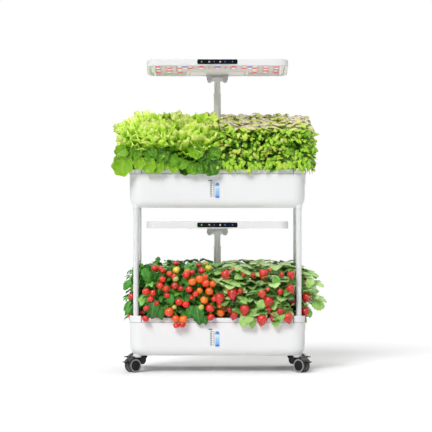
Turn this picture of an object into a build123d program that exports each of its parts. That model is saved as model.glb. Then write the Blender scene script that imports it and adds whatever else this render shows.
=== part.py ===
from build123d import *
from math import cos, radians, sin, tan
import os

os.makedirs("parts", exist_ok=True)

# Two-tier hydroponic growing trolley. Millimetres, +Z up, origin on the floor under the centre,
# +X to the right and the front at -Y. Every length below can be changed by itself.

# Layout
tank_bottom_height = 56.0
tier_pitch = 504.0
pole_y = 66.0
fit_gap = 0.3
running_clearance = 0.06
cut_overrun = 2.0

# Tank
tank_width = 600.0
tank_depth = 300.0
tank_wall_height = 114.0
tank_corner_radius = 45.0
tank_wall = 3.0
tank_base_fillet = 32.0
tank_draft_angle = 1.5
rim_height = 16.0
pole_socket_height = 24.0
pole_socket_wall = 3.0

# Corner caps and posts
cap_size = 42.0
cap_rise = 6.0
cap_fillet = 3.0
cap_seam = 1.2
post_diameter = 19.0
post_wall = 1.5
post_x = 277.0
post_y = 120.0
post_lower_socket = 46.0
post_upper_socket = 23.0
post_socket_wall = 2.5

# Deck and pods
rim_recess = 1.2
deck_plate = 3.0
deck_sink = 6.0
deck_lip_depth = 8.0
deck_lip_gap = 0.8
pod_columns = 4
pod_rows = 3
pod_pitch_x = 137.0
pod_pitch_y = 88.0
pod_opening = 58.0
pod_gap = 0.4
pod_flange = 3.5
pod_flange_thickness = 1.6
pod_depth = 48.0
pod_wall = 1.6
pod_sides = 8
pod_draft_angle = 8.0
sponge_height = 40.0
pole_hole_gap = 1.0
collar_radius = 16.5
collar_height = 5.0

# Level gauge and float
gauge_width = 14.0
gauge_straight = 45.0
gauge_rise = 33.0
gauge_plate = 2.4
gauge_proud = 0.8
gauge_channel_depth = 12.0
gauge_wall = 1.6
float_radius = 3.6
float_height = 7.0

# Fill port and flap
flap_width = 56.0
flap_height = 46.0
flap_thickness = 3.6
flap_corner_radius = 12.0
flap_standoff = 0.6
flap_pin_drop = 4.0
flap_pin_radius = 1.5
flap_knuckle_radius = 2.6
flap_ear_width = 4.0
flap_ear_height = 30.0
port_width = 40.0
port_height = 18.0
port_drop = 14.0

# Casters
caster_x = 273.0
caster_y = 112.0
caster_face_height = 50.0
caster_boss_radius = 14.0
stem_radius = 5.0
stem_length = 20.0
wheel_diameter = 46.0
wheel_width = 12.0
wheel_chamfer = 1.5
wheel_hub_radius = 18.3
wheel_hub_recess = 1.2
caster_trail = 18.0
caster_web = 10.0
caster_web_radius = 16.0
wheel_side_gap = 0.4
axle_radius = 3.0
fender_gap = 1.2
fender_wall = 2.6
fender_skirt_rise = 8.0
barrel_radius = 9.0
barrel_height = 9.0
horn_gap = 2.5
horn_top_gap = 2.8
horn_thickness = 6.0
horn_width = 24.0
horn_slope = 10.0
hood_nose_rise = 4.0
hood_nose_depth = 7.0
hood_nose_bulge = 2.0
pedal_reach = 30.5
pedal_angle = 26.0
pedal_length = 10.0
pedal_width = 16.0
pedal_thickness = 3.0
pedal_root = 5.0
pedal_knuckle_radius = 3.0
pedal_pin_radius = 1.4
pedal_ear_width = 3.0
pedal_ear_spacing = 11.0

# Telescoping poles
outer_tube_diameter = 25.0
inner_tube_diameter = 22.0
inner_tube_wall = 1.4
pole_exposed = 43.0
upper_inner_length = 300.0
lower_inner_length = 200.0
pole_ring_height = 4.0

# Lamps
upper_hinge_height = 1012.0
lower_hinge_height = 477.0
upper_lamp_tilt = 7.5
lower_lamp_tilt = 0.0
lamp_width = 486.0
lamp_depth = 187.0
lamp_thickness = 24.0
lamp_corner_radius = 32.0
lamp_edge_fillet = 3.0
lamp_wall = 9.0
lamp_pocket_depth = 11.0
lamp_pocket_angle = 30.0
lamp_front_reach = 171.0
led_board_thickness = 1.6
led_board_margin = 1.0
led_columns = 23
led_rows = 7
led_pitch_x = 18.6
led_pitch_y = 17.0
led_size = 7.0
led_height = 1.4
driver_width = 215.0
driver_depth = 54.0
driver_chamfer = 9.0
panel_width = 139.0
panel_height = 18.0
panel_corner_radius = 5.0
panel_thickness = 2.4
panel_sink = 1.2

# Tilt brackets
hinge_drop = 12.0
bracket_flange_width = 79.0
bracket_flange_depth = 32.0
bracket_flange_thickness = 3.0
bracket_flange_radius = 5.0
bracket_width = 69.0
bracket_leg = 15.0
bracket_depth = 22.0
bracket_leg_drop = 13.0
bracket_leg_radius = 6.0
hinge_pin_radius = 4.0
hinge_head_radius = 6.0
hinge_head_height = 2.0
knuckle_radius = 8.0
knuckle_gap = 0.5
neck_drop = 10.0
screw_head_radius = 3.0
screw_head_height = 1.6
screw_inset = 12.0

# Pump, drain plug and power inlet
pump_width = 52.0
pump_depth = 40.0
pump_height = 34.0
pump_edge = 5.0
pump_x = 137.0
riser_radius = 5.0
riser_wall = 1.2
riser_height = 26.0
drain_radius = 9.0
drain_head_radius = 13.0
drain_head_height = 5.0
drain_x = 190.0
drain_rise = 44.0
inlet_radius = 5.5
inlet_bore_radius = 4.0
inlet_bore_depth = 9.0
inlet_pin_radius = 1.0
inlet_collar_radius = 8.0
inlet_collar_height = 2.0
inlet_length = 14.0
inlet_x = 60.0
inlet_rise = 92.0

# Plants, as plain closed crowns
plant_sides = 10
plant_stem_radius = 10.0
plant_reach_x = 360.0
plant_reach_y = 178.0
plant_post_gap = 6.0
plant_pole_gap = 4.0
crown_half_width = 76.0
crown_half_depth = 70.0
crown_overlap = 30.0
lettuce_height = 212.0
basil_height = 207.0
tomato_height = 208.0
strawberry_height = 205.0
stem_height_share = 0.10
crown_shares = [(0.16, 0.9, 0.8), (0.5, 1.0, 1.0), (0.84, 0.85, 0.9), (1.0, 0.45, 0.8)]
row_height_shares = {-1: 0.76, 0: 0.88, 1: 1.0}

# Worked-out sizes
pod_turn = 180.0 / pod_sides
cap_center_x = tank_width / 2 - cap_size / 2
cap_center_y = tank_depth / 2 - cap_size / 2
flap_pin_x = tank_width / 2 + flap_standoff + flap_thickness / 2
lamp_center_y = lamp_depth / 2 - lamp_front_reach
outer_bore_radius = inner_tube_diameter / 2 + running_clearance
knuckle_width = bracket_width - 2 * bracket_leg - 2 * knuckle_gap
wheel_radius = wheel_diameter / 2
wheel_inner = caster_web / 2 + wheel_side_gap
fender_inner_radius = wheel_radius + fender_gap
fender_outer_radius = fender_inner_radius + fender_wall
caster_width = 2 * (wheel_inner + wheel_width)
horn_inner = caster_boss_radius + horn_gap
horn_outer = horn_inner + horn_thickness
horn_top = tank_bottom_height - horn_top_gap
nose_z = wheel_radius + hood_nose_rise
nose_u = caster_trail - fender_inner_radius - hood_nose_depth
pedal_u = caster_trail + pedal_reach * cos(radians(pedal_angle))
pedal_z = wheel_radius + pedal_reach * sin(radians(pedal_angle))

# What differs between the two tiers
tiers = {
    "lower": {
        "base": tank_bottom_height,
        "cap_rise": cap_rise,
        "foot_place": (caster_x, caster_y),
        "foot_z": caster_face_height + fit_gap,
        "foot_radius": caster_boss_radius,
        "foot_bore": stem_radius + running_clearance,
        "foot_depth": stem_length,
        "hinge_z": lower_hinge_height,
        "tilt": lower_lamp_tilt,
        "inner_length": lower_inner_length,
    },
    "upper": {
        "base": tank_bottom_height + tier_pitch,
        "cap_rise": 0,
        "foot_place": (post_x, post_y),
        "foot_z": tank_bottom_height + tier_pitch,
        "foot_radius": post_diameter / 2 + post_socket_wall,
        "foot_bore": post_diameter / 2,
        "foot_depth": post_upper_socket,
        "hinge_z": upper_hinge_height,
        "tilt": upper_lamp_tilt,
        "inner_length": upper_inner_length,
    },
}

# Which way each caster trails, in degrees from +X
caster_turns = {
    "front_left": (-1, -1, 217.0),
    "front_right": (1, -1, 319.0),
    "rear_left": (-1, 1, 190.0),
    "rear_right": (1, 1, 350.0),
}

# Each plant group: tier, side and height
plant_groups = {
    "lettuce_plants": ("upper", -1, lettuce_height),
    "basil_plants": ("upper", 1, basil_height),
    "tomato_plants": ("lower", -1, tomato_height),
    "strawberry_plants": ("lower", 1, strawberry_height),
}


def wall_y(drop):
    """Half depth of the drafted tank, this far below the top of its wall."""
    return tank_depth / 2 - drop * tan(radians(tank_draft_angle))


def corners(x, y):
    """Places mirrored to the four corners of the tank."""
    return GridLocations(2 * x, 2 * y, 2, 2)


def pods():
    """Places of the pods in the deck."""
    return GridLocations(pod_pitch_x, pod_pitch_y, pod_columns, pod_rows)


def pod_outline(across, pods_mode=Mode.ADD):
    """Eight-sided outlines at the pods, this far from centre to flat."""
    with pods():
        RegularPolygon(
            across, pod_sides, major_radius=False, rotation=pod_turn, mode=pods_mode
        )


def tub_outline(inset, outline_mode=Mode.ADD):
    """The tank's plan outline, drawn in by this much."""
    RectangleRounded(
        tank_width - 2 * inset,
        tank_depth - 2 * inset,
        tank_corner_radius - inset,
        mode=outline_mode,
    )


def gauge_outline(gauge_bottom, margin=0):
    """Window with straight sides and a round top, drawn in by a margin."""
    width = gauge_width - 2 * margin
    with Locations((0, gauge_bottom + margin + (gauge_straight - margin) / 2)):
        Rectangle(width, gauge_straight - margin)
    with Locations((0, gauge_bottom + gauge_straight)):
        Circle(width / 2)


for tier, size in tiers.items():
    base = size["base"]
    wall_top = base + tank_wall_height
    rim_top = wall_top + rim_height
    floor = base + tank_wall
    plate_top = rim_top - deck_sink
    plate_bottom = plate_top - deck_plate
    cup_top = plate_top + pod_flange_thickness
    gauge_bottom = base + gauge_rise
    gauge_y = wall_y(wall_top - gauge_bottom - gauge_straight / 2) + gauge_proud
    port_z = wall_top - port_drop - port_height / 2

    # Space inside the tub
    with BuildPart() as tank_cavity:
        with BuildSketch(Plane.XY.offset(wall_top)):
            tub_outline(tank_wall)
        extrude(amount=tank_wall - tank_wall_height, taper=tank_draft_angle)
        fillet(tank_cavity.faces().sort_by(Axis.Z)[0].edges(), radius=tank_base_fillet - tank_wall)

    # Tank: a drafted tub with a round lower edge, sockets in its corners and one for the pole
    with BuildPart() as tank:
        with BuildSketch(Plane.XY.offset(wall_top)):
            tub_outline(0)
        extrude(amount=-tank_wall_height, taper=tank_draft_angle)
        fillet(tank.faces().sort_by(Axis.Z)[0].edges(), radius=tank_base_fillet)
        add(tank_cavity.part, mode=Mode.SUBTRACT)
        with BuildSketch(Plane.XY.offset(size["foot_z"])):
            with corners(*size["foot_place"]):
                Circle(size["foot_radius"])
        extrude(amount=size["foot_depth"] + tank_wall)
        with BuildSketch(Plane.XY.offset(size["foot_z"])):
            with corners(*size["foot_place"]):
                Circle(size["foot_bore"])
        extrude(amount=size["foot_depth"], mode=Mode.SUBTRACT)
        if size["cap_rise"]:
            with BuildSketch(Plane.XY.offset(wall_top)):
                with corners(cap_center_x, cap_center_y):
                    Rectangle(cap_size, cap_size)
                tub_outline(tank_wall / 2, Mode.INTERSECT)
            extrude(amount=-post_lower_socket - tank_wall)
            with BuildSketch(Plane.XY.offset(wall_top)):
                with corners(post_x, post_y):
                    Circle(post_diameter / 2)
            extrude(amount=-post_lower_socket, mode=Mode.SUBTRACT)
        with BuildSketch(Plane.XY.offset(floor)):
            with Locations((0, pole_y)):
                Circle(outer_tube_diameter / 2 + pole_socket_wall)
                Circle(outer_tube_diameter / 2, mode=Mode.SUBTRACT)
        extrude(amount=pole_socket_height)
        with BuildSketch(Plane.XZ.offset(tank_depth / 2 + cut_overrun)):
            gauge_outline(gauge_bottom)
        extrude(amount=-cut_overrun - tank_base_fillet, mode=Mode.SUBTRACT)
        with BuildSketch(Plane.YZ.offset(tank_width / 2 + cut_overrun)):
            with Locations((0, port_z)):
                RectangleRounded(port_width, port_height, tank_wall)
        extrude(amount=-cut_overrun - tank_base_fillet, mode=Mode.SUBTRACT)
        with BuildSketch(Plane.XZ.offset(-tank_depth / 2 - cut_overrun)):
            with Locations((drain_x, base + drain_rise)):
                Circle(drain_radius)
            with Locations((inlet_x, base + inlet_rise)):
                Circle(inlet_radius)
        extrude(amount=cut_overrun + tank_base_fillet, mode=Mode.SUBTRACT)
        for side in (-1, 1):
            ear_y = side * (flap_width / 2 + fit_gap + flap_ear_width / 2)
            ear_inner_x = flap_pin_x - flap_knuckle_radius
            ear_outer_x = flap_pin_x + flap_knuckle_radius
            ear_top = rim_top - flap_pin_drop + flap_knuckle_radius
            with BuildSketch(Plane.XZ.offset(-ear_y - flap_ear_width / 2)):
                with BuildLine():
                    Polyline(
                        (tank_width / 2 - tank_wall, wall_top),
                        (tank_width / 2 - tank_wall, wall_top - flap_ear_height),
                        (ear_outer_x, wall_top - tank_wall),
                        (ear_outer_x, ear_top),
                        (ear_inner_x, ear_top),
                        (ear_inner_x, wall_top),
                        close=True,
                    )
                make_face()
                with Locations((flap_pin_x, rim_top - flap_pin_drop)):
                    Circle(flap_pin_radius + running_clearance, mode=Mode.SUBTRACT)
            extrude(amount=flap_ear_width)
    tank.part.label = f"{tier}_tank"
    export_step(tank.part, f"parts/{tier}_tank.step")

    # Corner caps, which close the rim where the deck is cut away
    with BuildPart() as corner_caps:
        with BuildSketch(Plane.XY.offset(wall_top)):
            with corners(cap_center_x, cap_center_y):
                Rectangle(cap_size, cap_size)
            tub_outline(0, Mode.INTERSECT)
        extrude(amount=rim_height + size["cap_rise"])
        fillet(corner_caps.faces().group_by(Axis.Z)[-1].edges(), radius=cap_fillet)
        if size["cap_rise"]:
            with BuildSketch(Plane.XY.offset(wall_top)):
                with corners(post_x, post_y):
                    Circle(post_diameter / 2)
            extrude(amount=rim_height + size["cap_rise"], mode=Mode.SUBTRACT)
    corner_caps.part.label = f"{tier}_corner_caps"
    export_step(corner_caps.part, f"parts/{tier}_corner_caps.step")

    # Planting deck: a shallow tray that lifts off, with a hole for each pod and one for the pole
    with BuildPart() as deck:
        with BuildSketch(Plane.XY.offset(wall_top + fit_gap)):
            tub_outline(rim_recess)
            tub_outline(rim_recess + tank_wall, Mode.SUBTRACT)
        extrude(amount=rim_height - fit_gap)
        with BuildSketch(Plane.XY.offset(plate_bottom)):
            tub_outline(tank_wall)
        extrude(amount=deck_plate)
        with BuildSketch(Plane.XY.offset(plate_bottom)):
            tub_outline(tank_wall + deck_lip_gap)
            tub_outline(2 * tank_wall + deck_lip_gap, Mode.SUBTRACT)
        extrude(amount=wall_top - deck_lip_depth - plate_bottom)
        with BuildSketch(Plane.XY.offset(rim_top)):
            with corners(cap_center_x, cap_center_y):
                Rectangle(cap_size + 2 * cap_seam, cap_size + 2 * cap_seam)
            pod_outline(pod_opening / 2)
            with Locations((0, pole_y)):
                Circle(outer_tube_diameter / 2 + pole_hole_gap)
        extrude(amount=-rim_height - deck_lip_depth, mode=Mode.SUBTRACT)
    deck.part.label = f"{tier}_deck"
    export_step(deck.part, f"parts/{tier}_deck.step")

    # Net cups: eight-sided tapered baskets that hang in the deck by their flanges
    cup_across = pod_opening / 2 - pod_gap
    with BuildPart() as net_cups:
        with BuildSketch(Plane.XY.offset(plate_top)):
            pod_outline(cup_across)
        extrude(amount=-pod_depth, taper=pod_draft_angle)
        with BuildSketch(Plane.XY.offset(plate_top)):
            pod_outline(pod_opening / 2 + pod_flange)
        extrude(amount=pod_flange_thickness)
        with BuildSketch(Plane.XY.offset(cup_top)):
            pod_outline(cup_across - pod_wall)
        extrude(amount=pod_wall - pod_depth, taper=pod_draft_angle, mode=Mode.SUBTRACT)
    net_cups.part.label = f"{tier}_net_cups"
    export_step(net_cups.part, f"parts/{tier}_net_cups.step")

    # Growing sponges, one tapered plug in each cup
    with BuildPart() as grow_sponges:
        with BuildSketch(Plane.XY.offset(cup_top)):
            pod_outline(cup_across - pod_wall)
        extrude(amount=-sponge_height, taper=pod_draft_angle)
    grow_sponges.part.label = f"{tier}_grow_sponges"
    export_step(grow_sponges.part, f"parts/{tier}_grow_sponges.step")

    # Collar that trims the pole's hole in the deck
    with BuildPart() as pole_collar:
        with BuildSketch(Plane.XY.offset(plate_top)):
            with Locations((0, pole_y)):
                Circle(collar_radius)
                Circle(outer_tube_diameter / 2 + pole_hole_gap, mode=Mode.SUBTRACT)
        extrude(amount=collar_height)
    pole_collar.part.label = f"{tier}_pole_collar"
    export_step(pole_collar.part, f"parts/{tier}_pole_collar.step")

    # Level gauge: a clear plate with a channel behind it for the float
    channel_y = gauge_y - gauge_plate
    channel_height = gauge_straight - gauge_wall
    channel_z = gauge_bottom + gauge_wall + channel_height / 2
    with BuildPart() as level_window:
        with BuildSketch(Plane.XZ.offset(gauge_y)):
            gauge_outline(gauge_bottom)
        extrude(amount=-gauge_plate - gauge_channel_depth - gauge_wall)
        with BuildSketch(Plane.XZ.offset(channel_y)):
            with Locations((0, channel_z)):
                Rectangle(gauge_width - 2 * gauge_wall, channel_height)
        extrude(amount=-gauge_channel_depth, mode=Mode.SUBTRACT)
    level_window.part.label = f"{tier}_level_window"
    export_step(level_window.part, f"parts/{tier}_level_window.step")

    # Float, which follows the water up and down the gauge
    float_top = channel_z + channel_height / 2 - fit_gap
    with BuildPart() as level_float:
        with BuildSketch(Plane.XY.offset(float_top)):
            with Locations((0, gauge_channel_depth / 2 - channel_y)):
                Circle(float_radius)
        extrude(amount=-float_height)
    level_float.part.label = f"{tier}_level_float"
    export_step(level_float.part, f"parts/{tier}_level_float.step")

    # Fill flap: a round-cornered cover hung on a pin over the filling port
    flap_pin_z = rim_top - flap_pin_drop
    pin_length = flap_width + 2 * fit_gap + 2 * flap_ear_width
    with BuildPart() as fill_flap:
        with BuildSketch(Plane.YZ.offset(tank_width / 2 + flap_standoff)):
            with Locations((0, flap_pin_z - flap_height / 2)):
                Rectangle(flap_width, flap_height)
        extrude(amount=flap_thickness)
        lower_corners = fill_flap.edges().filter_by(Axis.X).group_by(Axis.Z)[0]
        fillet(lower_corners, radius=flap_corner_radius)
        with BuildSketch(Plane.XZ.offset(-flap_width / 2)):
            with Locations((flap_pin_x, flap_pin_z)):
                Circle(flap_knuckle_radius)
        extrude(amount=flap_width)
        with BuildSketch(Plane.XZ.offset(-pin_length / 2)):
            with Locations((flap_pin_x, flap_pin_z)):
                Circle(flap_pin_radius)
        extrude(amount=pin_length)
    fill_flap.part.label = f"{tier}_fill_flap"
    export_step(fill_flap.part, f"parts/{tier}_fill_flap.step")

    # Circulation pump on the tank floor, with its riser
    with BuildPart() as pump:
        with BuildSketch(Plane.XY.offset(floor)):
            with Locations((-pump_x, 0)):
                RectangleRounded(pump_width, pump_depth, pump_edge)
        extrude(amount=pump_height)
        with BuildSketch(Plane.XY.offset(floor + pump_height)):
            with Locations((-pump_x, 0)):
                Circle(riser_radius)
                Circle(riser_radius - riser_wall, mode=Mode.SUBTRACT)
        extrude(amount=riser_height)
    pump.part.label = f"{tier}_pump"
    export_step(pump.part, f"parts/{tier}_pump.step")

    # Telescoping pole: a fixed outer tube in the tank's socket, with a ring at its mouth
    hinge_z = size["hinge_z"]
    neck_z = hinge_z - neck_drop
    outer_top = neck_z - pole_exposed
    with BuildPart() as outer_tube:
        with BuildSketch(Plane.XY.offset(floor)):
            with Locations((0, pole_y)):
                Circle(outer_tube_diameter / 2)
                Circle(outer_bore_radius, mode=Mode.SUBTRACT)
        extrude(amount=outer_top - floor)
        with BuildSketch(Plane.XY.offset(outer_top)):
            with Locations((0, pole_y)):
                Circle(outer_tube_diameter / 2 + pole_hole_gap)
                Circle(outer_bore_radius, mode=Mode.SUBTRACT)
        extrude(amount=-pole_ring_height)
    outer_tube.part.label = f"{tier}_outer_tube"
    export_step(outer_tube.part, f"parts/{tier}_outer_tube.step")

    # Inner tube, closed by the hinge knuckle on its top
    with BuildPart() as inner_tube:
        with BuildSketch(Plane.XY.offset(neck_z)):
            with Locations((0, pole_y)):
                Circle(inner_tube_diameter / 2)
                Circle(inner_tube_diameter / 2 - inner_tube_wall, mode=Mode.SUBTRACT)
        extrude(amount=-size["inner_length"])
        with BuildSketch(Plane.YZ.offset(-knuckle_width / 2)):
            with Locations((pole_y, hinge_z)):
                Circle(knuckle_radius)
            with Locations((pole_y, hinge_z - neck_drop / 2)):
                Rectangle(2 * knuckle_radius, neck_drop)
            with Locations((pole_y, hinge_z)):
                Circle(hinge_pin_radius + running_clearance, mode=Mode.SUBTRACT)
        extrude(amount=knuckle_width)
        with BuildSketch(Plane.XY.offset(neck_z)):
            with Locations((0, pole_y)):
                Circle(inner_tube_diameter / 2)
        extrude(amount=inner_tube_wall)
    inner_tube.part.label = f"{tier}_inner_tube"
    export_step(inner_tube.part, f"parts/{tier}_inner_tube.step")

    # Planes of the tilting head: origin on the hinge axis, Z along the lamp's own normal
    head = Plane(origin=(0, pole_y, hinge_z)).rotated((-size["tilt"], 0, 0))
    head_side = Plane(origin=head.origin, x_dir=head.y_dir, z_dir=head.x_dir)
    head_front = Plane(origin=head.origin, x_dir=head.x_dir, z_dir=-head.y_dir)
    underside = head.offset(hinge_drop)

    # Lamp housing: a thin tray, open below, with sloping reflector walls
    with BuildPart() as lamp_housing:
        with BuildSketch(underside):
            with Locations((0, lamp_center_y)):
                RectangleRounded(lamp_width, lamp_depth, lamp_corner_radius)
        extrude(amount=lamp_thickness)
        lamp_top = lamp_housing.faces().sort_by(Axis(head.origin, head.z_dir))[-1]
        fillet(lamp_top.edges(), radius=lamp_edge_fillet)
        with BuildSketch(underside):
            with Locations((0, lamp_center_y)):
                RectangleRounded(
                    lamp_width - 2 * lamp_wall,
                    lamp_depth - 2 * lamp_wall,
                    lamp_corner_radius - lamp_wall,
                )
        extrude(amount=lamp_pocket_depth, taper=lamp_pocket_angle, mode=Mode.SUBTRACT)
        with BuildSketch(head_front.offset(lamp_front_reach)):
            with Locations((0, hinge_drop + lamp_thickness / 2)):
                RectangleRounded(panel_width, panel_height, panel_corner_radius)
        extrude(amount=-panel_sink, mode=Mode.SUBTRACT)
    lamp_housing.part.label = f"{tier}_lamp_housing"
    export_step(lamp_housing.part, f"parts/{tier}_lamp_housing.step")

    # Touch panel, let into the housing's front face
    with BuildPart() as touch_panel:
        with BuildSketch(head_front.offset(lamp_front_reach - panel_sink)):
            with Locations((0, hinge_drop + lamp_thickness / 2)):
                RectangleRounded(panel_width, panel_height, panel_corner_radius)
        extrude(amount=panel_thickness)
    touch_panel.part.label = f"{tier}_touch_panel"
    export_step(touch_panel.part, f"parts/{tier}_touch_panel.step")

    # Light board against the roof of the tray
    pocket_shrink = lamp_pocket_depth * tan(radians(lamp_pocket_angle)) + led_board_margin
    board_width = lamp_width - 2 * lamp_wall - 2 * pocket_shrink
    board_depth = lamp_depth - 2 * lamp_wall - 2 * pocket_shrink
    board_corner = lamp_corner_radius - lamp_wall - pocket_shrink
    board_face = hinge_drop + lamp_pocket_depth - led_board_thickness
    with BuildPart() as led_board:
        with BuildSketch(head.offset(board_face)):
            with Locations((0, lamp_center_y)):
                RectangleRounded(board_width, board_depth, board_corner)
        extrude(amount=led_board_thickness)
    led_board.part.label = f"{tier}_led_board"
    export_step(led_board.part, f"parts/{tier}_led_board.step")

    # Light chips in rows across the board, left out under the driver cover
    driver_front = lamp_center_y + board_depth / 2 - driver_depth
    chip_places = []
    for spot in GridLocations(led_pitch_x, led_pitch_y, led_columns, led_rows):
        chip_x = spot.position.X
        chip_y = spot.position.Y + lamp_center_y
        beside_cover = abs(chip_x) > driver_width / 2 + led_size
        if beside_cover or chip_y < driver_front - led_size:
            chip_places.append((chip_x, chip_y))
    with BuildPart() as led_chips:
        with BuildSketch(head.offset(board_face)):
            with Locations(*chip_places):
                Rectangle(led_size, led_size)
        extrude(amount=-led_height)
    led_chips.part.label = f"{tier}_led_chips"
    export_step(led_chips.part, f"parts/{tier}_led_chips.step")

    # Driver cover: a box with cut corners at the back of the tray, level with its edge
    driver_center_y = driver_front + driver_depth / 2
    with BuildPart() as driver_cover:
        with BuildSketch(underside) as driver_plan:
            with Locations((0, driver_center_y)):
                Rectangle(driver_width, driver_depth)
            chamfer(driver_plan.vertices(), length=driver_chamfer)
        extrude(amount=board_face - hinge_drop)
    driver_cover.part.label = f"{tier}_driver_cover"
    export_step(driver_cover.part, f"parts/{tier}_driver_cover.step")

    # Screw heads at the corners of the driver cover
    with BuildPart() as cover_screws:
        with BuildSketch(underside):
            with Locations((0, driver_center_y)):
                with GridLocations(
                    driver_width - 2 * screw_inset, driver_depth - 2 * screw_inset, 2, 2
                ):
                    Circle(screw_head_radius)
        extrude(amount=-screw_head_height)
    cover_screws.part.label = f"{tier}_cover_screws"
    export_step(cover_screws.part, f"parts/{tier}_cover_screws.step")

    # Tilt bracket: a flange under the lamp with a round-footed leg at each end
    flange_bottom = hinge_drop - bracket_flange_thickness
    with BuildPart() as tilt_bracket:
        with BuildSketch(head.offset(flange_bottom)):
            RectangleRounded(bracket_flange_width, bracket_flange_depth, bracket_flange_radius)
        extrude(amount=bracket_flange_thickness)
        with BuildSketch(head_front) as legs:
            with Locations((0, (flange_bottom - bracket_leg_drop) / 2)):
                with GridLocations(bracket_width - bracket_leg, 0, 2, 1):
                    Rectangle(bracket_leg, flange_bottom + bracket_leg_drop)
            fillet(legs.vertices().group_by(Axis.Y)[0], radius=bracket_leg_radius)
        extrude(amount=bracket_depth / 2, both=True)
        with BuildSketch(head_side.offset(-bracket_width / 2)):
            Circle(hinge_pin_radius)
        extrude(amount=bracket_width, mode=Mode.SUBTRACT)
    tilt_bracket.part.label = f"{tier}_tilt_bracket"
    export_step(tilt_bracket.part, f"parts/{tier}_tilt_bracket.step")

    # Hinge pin through the bracket's legs and the knuckle, with a head at each end
    with BuildPart() as hinge_pin:
        with BuildSketch(head_side.offset(-bracket_width / 2)):
            Circle(hinge_pin_radius)
        extrude(amount=bracket_width)
        with BuildSketch(head_side.offset(bracket_width / 2)):
            Circle(hinge_head_radius)
        extrude(amount=hinge_head_height)
        with BuildSketch(head_side.offset(-bracket_width / 2)):
            Circle(hinge_head_radius)
        extrude(amount=-hinge_head_height)
    hinge_pin.part.label = f"{tier}_hinge_pin"
    export_step(hinge_pin.part, f"parts/{tier}_hinge_pin.step")

# Drain plugs and power inlets in the back walls, one for each tank
drain_y = wall_y(tank_wall_height - drain_rise)
drain_seat = drain_head_radius * tan(radians(tank_draft_angle)) + running_clearance
inlet_y = wall_y(tank_wall_height - inlet_rise) + inlet_collar_height
tank_bases = [size["base"] for size in tiers.values()]
with BuildPart() as drain_plugs:
    with BuildSketch(Plane.XZ.offset(tank_wall - drain_y)):
        with Locations(*[(drain_x, base + drain_rise) for base in tank_bases]):
            Circle(drain_radius)
    extrude(amount=-tank_wall - drain_seat)
    with BuildSketch(Plane.XZ.offset(-drain_y - drain_seat)):
        with Locations(*[(drain_x, base + drain_rise) for base in tank_bases]):
            Circle(drain_head_radius)
    extrude(amount=-drain_head_height)
drain_plugs.part.label = "drain_plugs"
export_step(drain_plugs.part, "parts/drain_plugs.step")

with BuildPart() as power_inlets:
    with BuildSketch(Plane.XZ.offset(-inlet_y)):
        with Locations(*[(inlet_x, base + inlet_rise) for base in tank_bases]):
            Circle(inlet_radius)
    extrude(amount=inlet_length)
    with BuildSketch(Plane.XZ.offset(-inlet_y)):
        with Locations(*[(inlet_x, base + inlet_rise) for base in tank_bases]):
            Circle(inlet_collar_radius)
    extrude(amount=inlet_collar_height - fit_gap)
    with BuildSketch(Plane.XZ.offset(-inlet_y)):
        with Locations(*[(inlet_x, base + inlet_rise) for base in tank_bases]):
            Circle(inlet_bore_radius)
            Circle(inlet_pin_radius, mode=Mode.SUBTRACT)
    extrude(amount=inlet_bore_depth, mode=Mode.SUBTRACT)
power_inlets.part.label = "power_inlets"
export_step(power_inlets.part, "parts/power_inlets.step")

# Posts: four tubes between the tanks' corner sockets, in a front and a rear pair
post_bottom = tank_bottom_height + tank_wall_height - post_lower_socket
post_top = tank_bottom_height + tier_pitch + post_upper_socket
for row, side in (("front", -1), ("rear", 1)):
    with BuildPart() as posts:
        with BuildSketch(Plane.XY.offset(post_bottom)):
            with Locations((-post_x, side * post_y), (post_x, side * post_y)):
                Circle(post_diameter / 2)
                Circle(post_diameter / 2 - post_wall, mode=Mode.SUBTRACT)
        extrude(amount=post_top - post_bottom)
    posts.part.label = f"{row}_posts"
    export_step(posts.part, f"parts/{row}_posts.step")

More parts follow.
